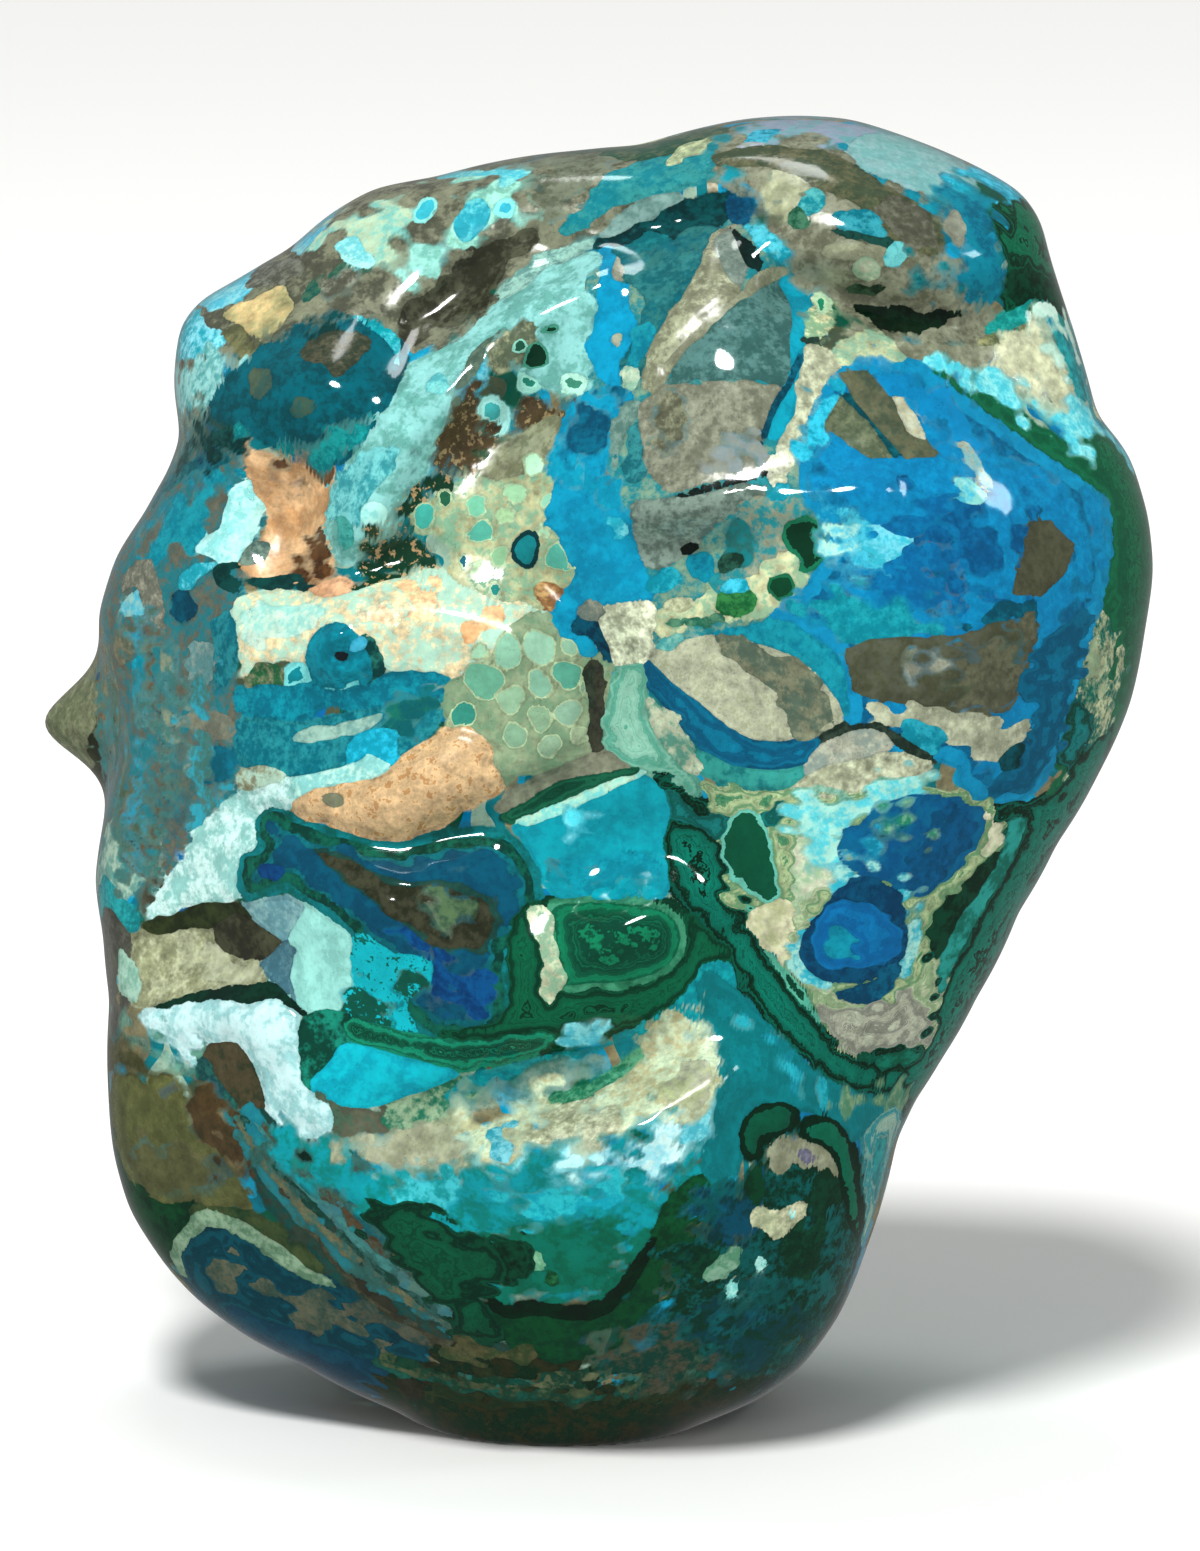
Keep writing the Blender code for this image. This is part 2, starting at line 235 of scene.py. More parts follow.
def growth(name, colour, second, outline, kind="mottled", size=1.0, ragged=0.12, inset=0.0, rise=0.0,
           wrap=4.0, smooth=1):
    """Adds a growth. Its outline is x,y places, its corners cut off smooth times, or the name of an earlier
    growth. It is mottled or speckled with its second colour, banded with it along its outline as malachite
    is, or rimmed with it. In mm: size is the width of a band or rim, ragged how far the edge wanders, inset
    how far it is shrunk, rise how far it stands proud, and wrap how far it runs on behind the rim."""
    if isinstance(outline, str) and outline[0].isalpha():
        points = next(g["points"] for g in growths if g["name"] == outline)
    else:
        if isinstance(outline, str):
            outline = [place.split(",") for place in outline.split()]
        points = np.array(outline, float)
        for _ in range(smooth):
            near = (1 - CORNER_CUT) * points + CORNER_CUT * np.roll(points, -1, axis=0)
            far = CORNER_CUT * points + (1 - CORNER_CUT) * np.roll(points, -1, axis=0)
            points = np.stack([near, far], axis=1).reshape(-1, 2)
    growths.append(dict(name=name, colour=colour, second=second, kind=kind, points=points, size=size,
                        ragged=ragged, inset=inset, rise=rise, wrap=wrap))


def disc(x, y, radius, tall=1.0, sides=12):
    """Points round an ellipse tall times as high as it is wide, its radius swelled by two waves round it."""
    turn = np.arange(sides) * 2 * np.pi / sides
    swelled = radius * (1 + DISC_SWELL[0] * np.sin(2 * turn + x) + DISC_SWELL[1] * np.cos(3 * turn + y))
    return np.column_stack([x + swelled * np.cos(turn), y + tall * swelled * np.sin(turn)])


def fibre(start, middle, end, half_width, steps=9):
    """Points round a thin lens along the curve (1-t)^2 start + 2t(1-t) middle + t^2 end."""
    t = np.linspace(0, 1, steps)[:, None]
    line = (1 - t) ** 2 * start + 2 * t * (1 - t) * middle + t**2 * end
    run = np.gradient(line, axis=0)
    side = np.column_stack([-run[:, 1], run[:, 0]]) / np.hypot(*run.T)[:, None]
    side = side * half_width * (FIBRE_TIP + np.sin(np.pi * t))
    return np.concatenate([line + side, (line - side)[::-1]])


def grains(name, second, larger, places, **looks):
    """Adds round rimmed grains, each written as x,y,radius,colour, and drawn larger by the same factor."""
    for place in places.split():
        x, y, radius, colour = place.split(",")
        growth(name, colour, second, disc(int(x), int(y), int(radius) * larger), "rimmed", **looks)


def fan(name, second, colours, start, middle, end, half_width, ragged):
    """Adds fibres side by side, one for each colour. start, middle and end give x, y, and how far each next
    fibre's lies from it in x and y."""
    for number, colour in enumerate(colours.split()):
        places = [np.array(place[:2]) + number * np.array(place[2:]) for place in (start, middle, end)]
        growth(name, colour, second, fibre(*places, half_width), ragged=ragged)


# The shoulder at the top left: brown rock with chrysocolla in its gaps.
growth("shoulder rock", "878b76", "595c4e", "160,300 215,270 270,245 330,190 400,160 480,140 560,130 "
       "640,140 625,200 600,240 545,262 500,295 470,330 430,352 400,355 330,325 290,335 255,355 225,380 "
       "205,420 170,440 150,390", ragged=0.5)
growth("corner sky", "24a7b5", "8fd6e0", "165,325 190,295 215,290 222,312 232,335 222,352 200,345 170,352")
growth("corner pale", "9fd3d0", "5fa3a2", "170,350 222,348 258,340 235,372 215,398 200,410 185,400 160,405",
       ragged=0.5)
growth("corner shade", "4f8a84", "86aa98", "150,400 190,398 205,420 190,450 170,480 150,480", ragged=0.5)
growth("sky strip", "5cbccf", "8fd0d6", "205,292 240,272 275,250 278,272 262,290 232,294")
growth("cream pebble", "cdbb8c", "a3a078", "236,296 262,290 285,288 294,303 285,322 265,340 245,334 235,314",
       ragged=0.18)
growth("pebble shade", "7d7f5c", "5c6048", "222,330 240,318 250,338 262,345 248,356 232,352")
growth("umber strip", "5d6054", "7c8075", "262,266 300,243 322,240 312,262 290,276 275,274")
growth("sky streak", "55b2cc", "8ac4c8", "300,222 345,188 368,188 360,212 340,230 318,242")
growth("green gap", "235f55", "4a6f5c", "298,292 330,266 352,257 378,268 360,278 325,288 305,306")
growth("umber bits", "5f6255", "8c9081", "322,278 345,262 375,275 388,292 355,304 328,298", ragged=0.5)
growth("pale crust one", "b8cfb4", "86bfb4", "340,228 352,212 378,203 400,208 404,232 398,264 372,266 "
       "350,262", ragged=0.5)
growth("cyan crust", "7cc8cc", "a8dcd6", "333,246 348,234 362,242 378,264 362,270 340,262")
growth("pale crust two", "a2d8ce", "7fb8ac", "404,256 425,248 442,248 452,262 434,276 430,290 415,300 "
       "402,282", ragged=0.5)
growth("cyan eye", "45b6c4", "8fd2cc", disc(420, 212, 12), "rimmed", size=0.25)
growth("pale crust three", "a8dfcf", "7fb4a4", "452,200 470,182 500,178 522,190 540,206 524,228 500,236 "
       "480,246 455,246 446,224", ragged=0.5)
growth("blue crust one", "38a6b5", "6cc4c8", "456,206 475,196 492,206 490,226 474,240 460,240 452,224")
growth("blue crust two", "44b4c6", "8fdad6", disc(505, 210, 13), "rimmed", size=0.3)
growth("sky top", "5cc0cc", "8fd4d0", "472,160 500,145 508,178 490,190 476,182")
growth("grey crown", "7e8674", "5f6654", "506,150 560,140 606,140 594,180 570,215 540,210 515,190",
       ragged=0.5)
growth("dark valley", "5f6250", "3d3f32", "398,302 430,290 455,262 480,246 505,236 545,222 528,247 505,272 "
       "492,300 475,320 440,326 418,342 396,346 390,325", ragged=0.2, rise=-0.4)
growth("slate strip", "6f9a94", "9cc4b8", "498,287 528,262 560,248 604,236 590,252 560,264 522,290 500,302",
       ragged=0.15)

# The left edge of the face, under the shoulder.
growth("flank ground", "2f7d84", "676a5d", "60,640 90,540 140,470 175,440 205,420 250,450 272,500 250,570 "
       "238,640 235,760 225,830 160,900 80,900 90,760", ragged=0.5, size=1.5)
growth("azure flank", "0a8393", "1f94a0", "148,548 160,500 190,476 222,464 244,474 222,508 206,540 182,552 "
       "160,566", ragged=0.5)
growth("teal flank shade", "0f5b63", "1f7578", "160,490 185,450 215,448 240,462 205,470 178,480",
       ragged=0.2)
growth("flank chip one", "5fb4c4", "8fb8b4", "124,592 138,582 150,600 146,622 128,612")
growth("flank chip two", "5c6a5c", "7a7a66", "112,620 140,620 150,640 128,662 114,648")
growth("flank chip three", "128999", "2fa4b7", "130,655 160,640 165,655 148,672 132,672")
growth("flank chip four", "6f7468", "8f8f80", "128,560 145,548 162,590 168,640 150,630 138,590")
growth("white aqua patch", "c4efea", "93d2d0", "224,500 244,476 270,491 262,514 258,532 240,556 230,564 "
       "212,561 193,548 208,534 220,522", ragged=0.15, rise=0.3)
growth("cyan foot", "259fad", "7fd2dc", "176,576 200,560 222,562 206,576 190,594 176,590")
growth("navy spot", "0b5b6f", "0a4759", "168,600 178,588 194,590 202,610 186,627 170,620")
growth("tan hollow", "d8b890", "b8946c", "238,440 262,450 290,465 337,462 328,500 320,520 332,545 333,566 "
       "318,584 280,580 233,571 262,545 272,520 262,496 248,470", ragged=0.2)
growth("hollow top shade", "7a5a3a", "5a4430", "238,438 290,462 338,462 332,480 300,474 268,464",
       ragged=0.5)
growth("hollow left shade", "55706a", "7f9488", "246,566 240,558 258,538 272,546 268,560")
growth("hollow right shade", "6b4c2c", "4a3420", "298,576 312,552 316,538 330,548 330,578 318,586",
       ragged=0.5)
growth("ledge shadow", "12504c", "0c3a38", "198,575 215,561 240,572 290,580 345,588 348,600 300,593 "
       "240,592 205,588", rise=-0.15, inset=0.25, ragged=0.4)
growth("peach foot", "e0b894", "c49c78", "305,590 322,584 345,576 356,590 340,602 320,597")

# The teal boulder, a knob of dense chrysocolla that stands out of the shoulder.
growth("boulder shadow", "0b3c3a", "1a5450", "186,450 206,412 240,426 268,444 250,458 222,450 198,472",
       ragged=0.5)
growth("boulder", "026c78", "0a525a", "208,405 228,378 255,352 290,328 330,314 368,316 400,334 408,352 "
       "398,380 380,412 366,438 345,463 310,460 250,433 213,417", ragged=0.08)
growth("boulder foot", "0a7f82", "1f9a99", "250,430 300,446 350,440 366,436 348,464 310,461 252,436",
       ragged=0.5)
growth("boulder crown", "08403f", "0c5454", "258,354 290,330 330,316 346,320 335,334 300,344 280,354",
       ragged=0.5)
growth("boulder rim", "109da6", "5cc4cc", "348,314 372,316 397,331 405,350 396,374 389,346 372,330",
       ragged=0.1)
growth("boulder brown cap", "3f4a3c", "5a5a48", "300,346 330,331 365,334 374,345 360,358 336,380 327,362 "
       "300,362")
growth("boulder fleck one", "586a58", "3f5f58", "244,386 251,368 268,364 274,380 265,396 251,402")
growth("boulder fleck two", "4a6658", "2f5f5c", "286,405 300,397 319,402 306,416 292,419")

# The pale ridge of aqua chrysocolla, from the boulder up to the middle.
growth("aqua ridge", "98d0cc", "70aaa2", "604,246 560,262 530,285 500,300 480,325 455,345 430,355 405,370 "
       "402,395 385,420 372,440 356,452 340,470 330,500 326,530 338,562 352,567 364,540 386,530 400,512 "
       "414,490 432,465 444,430 450,400 456,375 480,345 505,330 522,345 516,370 540,386 575,394 600,378 "
       "602,330 600,290", ragged=0.18)
growth("ridge teal", "459ea4", "7cc4c4", "345,462 375,445 394,455 386,480 366,500 355,520 345,542 330,520 "
       "334,480", ragged=0.3)
growth("ridge pale foot", "b4e4dc", "8fccc8", "360,505 380,500 390,515 378,530 364,525")
growth("ridge teal gap", "2f8a86", "4fa49c", "332,520 345,512 356,530 350,556 338,550")
growth("ridge blue line", "3fa8bb", "7cc4d0", "468,368 478,350 487,360 480,385 468,402 460,392", ragged=0.1)
growth("ridge stain", "5fb0b4", "86ccc8", disc(436, 385, 13, 0.8), ragged=0.15)
growth("slate seam", "6a7f70", "4f6458", "452,400 462,372 480,345 510,322 508,330 484,354 470,384 462,412",
       rise=-0.2)
growth("ridge nodule", "4fb0b0", "a8ded8", "478,405 495,396 506,408 507,430 495,437 481,426", "rimmed",
       size=0.28, rise=0.3)
growth("brown by holes", "64705c", "8f9478", "510,332 530,317 546,338 538,352 520,372 508,366 503,346",
       ragged=0.5, rise=-0.2)
growth("hole one", "0f3f2c", "4f9a84", disc(549, 330, 12, 0.7), "rimmed", size=0.14, rise=-0.2)
growth("hole two", "103f2c", "4f9a84", disc(537, 357, 13, 1.1), "rimmed", size=0.14, rise=-0.2)
growth("hole three", "2f8a78", "9fd6c8", disc(528, 382, 10, 0.9), "rimmed", size=0.2, rise=-0.15)
growth("hole four", "4a8f7a", "b4e0d0", disc(573, 383, 13, 0.9), "rimmed", size=0.3, rise=-0.15)
growth("hole five", "2a5f4c", "8fc8b8", disc(520, 346, 6), "rimmed", size=0.15, rise=-0.15)

# The brown recess and the field of small round grains under the ridge.
growth("recess", "5a4e38", "8a7c5c", "446,402 470,386 478,420 500,440 530,402 562,393 570,412 545,432 "
       "512,442 495,456 470,472 440,484 426,470 440,430", "speckled", ragged=0.6, rise=-0.15)
growth("recess floor", "9ba087", "787c63", "500,442 530,428 562,412 566,440 546,470 505,482 478,478 490,458",
       ragged=0.2)
growth("grain field", "b6b892", "86ac92", "440,490 470,478 505,480 545,468 566,442 572,470 556,500 545,520 "
       "575,545 580,582 545,592 552,612 500,602 440,592 450,560 455,545 428,536 424,510", ragged=0.2)
growth("green recess", "1c4632", "a48c68", "398,592 356,587 350,566 374,545 400,535 408,520 396,506 "
       "415,482 440,470 458,482 450,506 420,506 425,540 455,546 450,566 440,580 410,585", "speckled",
       ragged=0.6, rise=-0.12)
grains("grain", "aabf9e", 1.15, "476,505,11,7fc0a4 480,532,12,5fae9c 533,465,11,b4dcc0 516,492,11,9fc8a4 "
       "552,505,11,8fc4ac 425,517,13,4fb0a4 496,590,8,2f8f88 464,560,7,2a6f7d 560,558,15,5fae9e "
       "505,515,8,a4c49c 500,555,9,8fb894 545,530,8,9fc4a8 445,498,8,2f6a50 480,570,9,b0c8a4",
       size=0.12, ragged=0.1, rise=0.12)
growth("great grain", "1a8489", "0c4146", disc(526, 550, 17, 1.05), "rimmed", size=0.25, ragged=0.08,
       rise=0.25)
growth("grain field brown", "8f6a44", "b09468", "525,594 550,578 572,596 560,614 540,606", ragged=0.2)

# The cream ledge across the left, with its blue disc.
growth("cream ledge", "b4d8c6", "d4c6a2", "232,600 270,590 345,598 400,580 430,562 455,577 500,600 560,615 "
       "545,632 492,660 450,682 400,668 378,662 370,640 340,626 314,640 300,660 262,665 242,682 238,650",
       ragged=0.2)
growth("ledge mint", "a0d2c8", "c4d8c8", "238,608 290,600 340,604 360,618 320,628 280,640 245,650",
       ragged=0.3)
growth("peach stain one", "e2c198", "d0d0a8", "398,590 420,578 444,580 450,596 436,612 412,612", ragged=0.3)
growth("peach stain two", "dcb88c", "c89c70", "462,632 480,615 504,604 506,620 480,640 464,642",
       ragged=0.25)
growth("peach stain three", "e0c8a4", "cfe0c4", "350,612 380,604 396,616 370,624", ragged=0.3)
growth("disc shade", "0b4a48", "2f7a70", "362,628 380,645 384,670 372,686 350,692 356,660", ragged=0.1)
growth("blue disc", "0a7988", "0b8d9d", disc(339, 658, 34, 1.0, 14), ragged=0.08, rise=0.5)
growth("disc glint", "4fb0c8", "2f98ae", "346,650 360,634 372,642 354,656", ragged=0.1)
growth("disc pupil", "1b2429", "2f3c41", disc(341, 655, 9, 0.9), rise=-0.2)
growth("disc foot", "5fc0c8", "8fd4cc", "318,688 345,686 362,680 350,694 325,696")
growth("blue grain", "0f8993", "7fd0d0", "283,672 298,661 310,678 302,692 284,692", "rimmed", size=0.2,
       rise=0.3)
growth("green grain", "2f6a48", "82866b", "246,674 262,660 285,668 286,690 266,698 246,692", ragged=0.15,
       rise=-0.3)

# The blue plates under the disc, and rock chips beside them.
growth("blue plate one", "0a7587", "12909f", "228,690 262,686 300,684 350,690 400,672 448,670 448,690 "
       "430,702 350,706 322,702 300,722 240,716")
growth("blue plate two", "0b7380", "2d8f96", "230,722 262,716 300,726 360,716 440,690 444,715 426,736 "
       "402,752 396,766 360,762 300,777 280,772 262,762 242,768")
growth("grey seam", "7fa8a0", "9cbcb0", "286,742 298,727 360,724 384,710 378,723 345,736 302,744")
growth("green plate end", "1f7a6c", "0d666b", "395,700 430,690 444,700 436,724 408,742 388,736", ragged=0.5)
growth("bright plate", "149cb1", "2fb8d0", "343,757 350,740 380,728 402,734 394,750 402,762 376,769 350,767")
growth("taupe chip left", "868a78", "6f7468", "186,706 230,710 237,740 205,742 184,728")
growth("blue chip left", "0e778a", "0a6070", "185,746 230,742 237,770 216,786 195,786 187,766")
growth("grey chip left", "8fa09a", "5f8a8a", "188,640 215,636 225,655 210,690 192,700 180,670", ragged=0.2)
growth("blue chip upper", "0a6f7b", "2f8a91", "206,620 235,610 238,660 228,690 212,690 214,650",
       ragged=0.15)
growth("taupe under plates", "8f8f74", "a9c4b4", "238,770 270,766 290,776 270,788 240,790")
growth("pale under plates", "8fc8c4", "b8dcd0", "270,784 300,776 360,762 396,766 370,780 320,788 292,804 "
       "262,800", ragged=0.15)

# The tan rock and the field of sage grains beside it.
growth("sage field", "98a88a", "7c987c", "448,682 490,660 500,632 530,612 560,615 600,640 612,680 606,722 "
       "597,748 560,762 520,778 503,782 494,760 500,745 480,736 460,720 444,724 442,700", ragged=0.18)
grains("sage grain", "a9ba98", 1.1, "484,680,19,6fa890 462,716,13,3f8f80 540,684,14,86b09a "
       "566,674,15,5f9f8c 507,652,16,93c0a8 540,648,17,9cc4ac 574,645,13,8fb49c 512,700,15,93b498 "
       "540,718,13,8aa88c 568,712,14,8fb09a 592,690,11,7f9c86 515,735,13,86a88e 550,745,12,93ae94 "
       "480,652,10,a4ccb0 580,735,9,9cac90", size=0.1, ragged=0.1, rise=0.1)
growth("brown seam", "484a3d", "32342c", "588,655 602,662 608,700 603,747 591,752 588,705", ragged=0.15,
       rise=-0.3)
growth("taupe lip", "909480", "747867", "498,806 518,786 560,770 600,750 642,752 630,772 565,784 522,806 "
       "505,812")
growth("tan rock", "cab08a", "a8865c", "288,806 303,795 320,788 350,785 370,782 395,768 402,755 440,738 "
       "444,728 460,721 481,735 491,748 488,765 504,775 500,790 470,800 430,826 405,841 390,843 330,823 "
       "300,819", "speckled", ragged=0.15, rise=0.25)
growth("rock fleck", "808470", "6f7458", "318,800 335,792 345,800 330,808")

# The nose and the lower part of the left edge, streaked with brown and blue.
growth("nose", "6c745a", "7c8268", "112,640 60,672 30,720 55,760 98,790 118,740 122,690", ragged=0.2,
       wrap=16.0)
growth("nose shade", "3a401f", "232a14", "92,718 112,730 118,762 105,792 88,772", ragged=0.25, wrap=12.0)
growth("flank brown", "575a4b", "717561", "156,722 176,714 186,750 202,790 197,830 180,802 166,765",
       ragged=0.5)
growth("flank cyan", "18929c", "4fb0bc", "138,690 154,700 152,730 162,765 150,772 136,740 133,710",
       ragged=0.5)
growth("flank blue", "136b7e", "0c5161", "180,798 192,790 184,850 168,864 164,830", ragged=0.5)
growth("flank olive", "5f6a48", "46523a", "106,780 126,770 142,800 152,850 130,872 112,830", ragged=0.5)
growth("flank grey", "6f9c92", "a0b8a8", "128,842 160,833 166,862 142,890 110,912 90,884", ragged=0.25)
growth("flank brown two", "5d604f", "484a3d", "134,882 160,860 166,880 156,912 130,906", ragged=0.5)
growth("flank teal foot", "1f8689", "2fa0a3", "90,916 130,898 138,926 118,938 95,932", ragged=0.2)
growth("flank umber edge", "65685d", "4e5048", "80,934 136,930 132,985 128,1030 112,1060 85,1060",
       ragged=0.2)
fan("flank fibre", "4a7a74", "2c8a90 7a6a50 1f9cb4 5c7a6c 6c5c44 2f7f86 8a9480 3aa0b0",
    (112, 600, 12, 9), (104, 742, 15, 0), (132, 905, 9, -8), half_width=9, ragged=0.6)

# The white and aqua chrysocolla above the leaf, and the leaf: a long nodule rimmed with teal, green and blue.
growth("white crust", "94c4be", "c4e0dc", "294,780 262,784 240,794 220,810 200,830 184,850 168,870 158,900 "
       "148,915 165,924 185,913 202,901 240,905 242,860 262,856 262,825 272,810 292,815", ragged=0.2,
       rise=0.2)
growth("leaf", "128488", "0b6a64", "258,812 280,806 300,820 340,834 390,846 440,834 500,829 522,844 "
       "537,870 542,900 536,925 520,942 507,956 510,1000 507,1027 490,1040 460,1042 428,1036 403,1015 "
       "388,985 368,955 345,927 330,914 300,897 285,887 270,892 245,900 236,880 238,852 260,848 253,835",
       ragged=0.1)
growth("leaf green", "0a463c", "126a58", "leaf", inset=0.3, ragged=0.1)
growth("leaf teal", "107a83", "0c666f", "leaf", inset=0.85, ragged=0.15)
growth("leaf blue", "0a6078", "0a5068", "leaf", inset=1.15, ragged=0.25)
growth("leaf navy tip", "0a4474", "0b5080", "252,862 280,862 288,874 275,884 256,878", ragged=0.15)
growth("leaf navy belly", "0a4676", "0b5a8c", "398,925 430,940 460,962 500,970 500,1000 490,1024 460,1022 "
       "435,990 410,960", ragged=0.5)
growth("leaf core rim", "2c5a50", "1f4a44", "306,846 330,848 400,884 450,876 492,896 506,930 484,960 "
       "440,950 405,925 365,895 330,870", ragged=0.15)
growth("leaf core", "4b4d3c", "2f3424", "310,850 332,853 400,890 450,881 490,900 501,930 481,956 442,946 "
       "405,920 370,894 334,868", ragged=0.2, rise=-0.25)
growth("leaf core green", "5f7a5a", "3f5a48", disc(452, 900, 26, 0.6), ragged=0.5)

# Plates under the leaf: a pale clast, turquoise with green specks, and an olive pocket at the edge.
growth("pocket", "979c7d", "a9ae93", "130,935 180,925 220,935 235,960 264,960 264,986 200,992 150,1008 "
       "128,1005 132,960", ragged=0.15)
growth("pocket cream", "b2b8a0", "a1a68b", "198,942 235,960 263,965 263,981 220,986 202,966", ragged=0.2)
growth("pocket edge", "a9c8b8", "7fa898", "122,962 140,960 142,1002 124,1008", ragged=0.1)
growth("dark arch", "3f4a2c", "2a3420", "145,925 172,912 200,903 240,903 264,914 250,920 215,923 180,932 "
       "150,938", ragged=0.15)
growth("pocket lump", "515440", "35372b", "213,927 235,911 262,925 284,943 270,957 240,960 221,946",
       rise=0.4)
growth("pocket line", "0f3f30", "0a2e24", "148,1006 200,992 240,984 276,984 300,998 322,1020 304,1016 "
       "276,1001 240,1001 200,1004 158,1013", rise=-0.3)
growth("slate wedge upper", "6f9ca4", "8fb4b4", "244,906 285,898 314,911 297,930 283,941 262,927",
       ragged=0.06, smooth=0)
growth("pale clast", "a2dad2", "8cc2ba", "306,906 347,932 357,950 353,1008 318,1022 294,1002 264,966 "
       "286,941", ragged=0.06, rise=0.15, smooth=0)
growth("slate wedge", "4b7480", "5f8890", "260,966 285,940 297,950 290,975 296,1000 280,986", ragged=0.06,
       smooth=0)
growth("turquoise", "12b2bd", "0c6a60", "352,938 362,934 385,945 432,958 437,975 422,986 402,1000 422,1032 "
       "400,1030 368,1014 353,1008", "speckled", ragged=0.15)
growth("turquoise specks", "0f5f50", "12b2bd", "352,985 385,985 405,965 424,975 400,1000 375,1020 352,1015",
       "speckled", ragged=0.5)
growth("wavy green", "1f907c", "0c4a3c", "298,1024 310,1008 335,1012 356,1020 354,1042 337,1060 316,1092 "
       "300,1088 292,1055", ragged=0.15)
growth("turquoise foot", "10b7c4", "0a9cad", "334,1046 350,1040 385,1052 420,1064 458,1070 432,1086 "
       "400,1096 370,1107 345,1107 318,1094 305,1082 328,1066", ragged=0.15, rise=0.15)
growth("brown under turquoise", "676a59", "4f6a58", "300,1094 320,1096 345,1110 380,1110 400,1102 440,1098 "
       "450,1114 400,1132 350,1137 322,1122", ragged=0.2)
growth("green fringe", "2f7a62", "8fa88c", "375,1112 420,1094 455,1084 486,1084 464,1106 440,1122 400,1132 "
       "378,1127", ragged=0.2)

# The white ridge round the lower left, and the rock that it holds.
growth("white ridge", "c8e4e4", "98c4c4", "138,1012 165,1006 200,1000 230,997 246,1009 270,998 302,1012 "
       "298,1030 300,1060 305,1090 336,1110 332,1132 295,1140 273,1120 262,1080 245,1050 230,1040 212,1045 "
       "205,1060 190,1064 173,1042 148,1026", rise=0.4)
growth("ridge left stain", "6fa090", "4f8078", "118,1030 128,1018 150,1022 175,1045 197,1066 176,1077 "
       "150,1057", ragged=0.5)
# The lower left turns down, away from the light. These colours are as dark as it looks there: partly the
# rock's own colour, partly painted shade.
growth("olive slope", "5a5a3c", "46482e", "100,1045 128,1040 160,1066 200,1090 190,1100 150,1075 110,1095",
       ragged=0.5)
growth("lump", "57503a", "38402e", "203,1062 214,1044 232,1040 250,1055 260,1085 262,1112 240,1107 "
       "224,1087 204,1082", ragged=0.15, rise=0.3)
growth("lump shade", "1f4c4f", "2f6a60", "196,1062 206,1062 226,1090 240,1108 222,1102 200,1082",
       ragged=0.15)
growth("olive face", "666a42", "565c38", "100,1100 125,1088 150,1070 186,1086 206,1120 226,1160 246,1185 "
       "256,1212 220,1206 190,1202 160,1208 130,1190 100,1150", ragged=0.3)
growth("taupe heart", "5f6242", "55583a", "134,1165 160,1150 192,1150 216,1170 202,1190 170,1201 148,1194",
       ragged=0.5)
growth("brown streak", "57482e", "3f3a26", "172,1084 200,1090 230,1110 248,1140 254,1170 246,1192 226,1166 "
       "201,1131 185,1111", ragged=0.5)
growth("green border", "0f4a2c", "0a3422", "80,1085 112,1100 112,1135 128,1175 160,1212 190,1202 204,1212 "
       "186,1240 180,1262 150,1240 110,1220 80,1150", ragged=0.2)
growth("green lower edge", "4a5a38", "2f4a30", "188,1206 255,1210 300,1238 352,1282 336,1284 290,1262 "
       "250,1230 205,1216", ragged=0.2)

# The lower left flat: a fan of brown, teal and slate streaks, cut across.
# These colours, and those of the bottom below them, are as dark as this part looks: partly their own colour,
# partly painted shade where the stone turns down to the floor.
growth("fan ground", "1c544e", "38483c", "240,1105 262,1110 300,1150 350,1188 380,1225 430,1285 480,1330 "
       "520,1350 480,1365 400,1330 340,1285 290,1235 258,1190", ragged=0.2)
growth("fan teal", "24808c", "2a8a8a", "242,1103 258,1106 290,1160 320,1210 362,1270 402,1320 380,1312 "
       "330,1250 280,1182 248,1142")
growth("fan brown", "444637", "555844", "252,1150 270,1148 300,1200 340,1250 390,1308 440,1338 490,1352 "
       "430,1348 370,1304 310,1238 265,1184")
growth("fan slate", "47848a", "5f8478", "278,1140 300,1148 345,1198 400,1258 450,1308 495,1345 440,1328 "
       "390,1290 330,1226 290,1176")
growth("fan olive", "66704e", "4a5f4c", "300,1150 340,1183 380,1225 424,1282 400,1272 350,1217 310,1172")
growth("fan umber", "3e4032", "37392e", "310,1222 330,1232 365,1275 410,1318 395,1318 350,1278", ragged=0.1)
growth("fan edge", "0c3f34", "0a2e24", "268,1124 310,1148 350,1184 372,1205 378,1228 340,1197 300,1167 "
       "275,1142")
fan("fan fibre", "3a6a64", "2c8088 77785a 174a3e 4f8f8c 5c4e36 1f666c 7c8468 2a5c50 3c8a92 5a4a34 4a7a74",
    (226, 1112, 9, 3), (284, 1240, 13, -6), (486, 1356, 3, -2), half_width=4.5, ragged=0.14)
growth("band ground", "0b5c68", "08414c", "150,1262 182,1262 198,1228 240,1232 290,1268 340,1288 400,1328 "
       "440,1372 400,1392 330,1375 260,1355 200,1320 160,1290", "banded", ragged=0.25, size=1.4)
growth("pale line", "8fa890", "5f8068", "160,1248 180,1256 190,1216 210,1208 255,1226 300,1264 338,1284 "
       "322,1286 290,1273 250,1241 212,1222 200,1229 188,1266 168,1264", ragged=0.1)
growth("tan cloud", "676a58", "40564c", "210,1258 230,1261 260,1284 300,1294 340,1304 372,1320 388,1347 "
       "360,1352 320,1331 280,1306 240,1301 218,1280", ragged=0.4)
growth("tan cloud tail", "5d6051", "38504a", "330,1300 380,1306 430,1340 400,1340 350,1318", ragged=0.3)
growth("navy low", "0a3c50", "0a4d60", "180,1300 215,1300 270,1326 330,1346 400,1364 436,1374 400,1394 "
       "330,1384 262,1362 200,1336", "banded", ragged=0.2, size=0.9)
growth("bottom ground", "0d3420", "33361e", "330,1372 400,1384 432,1350 500,1348 560,1358 640,1378 "
       "700,1382 800,1355 830,1380 760,1440 680,1470 560,1490 440,1470 380,1430 330,1405", ragged=0.4)
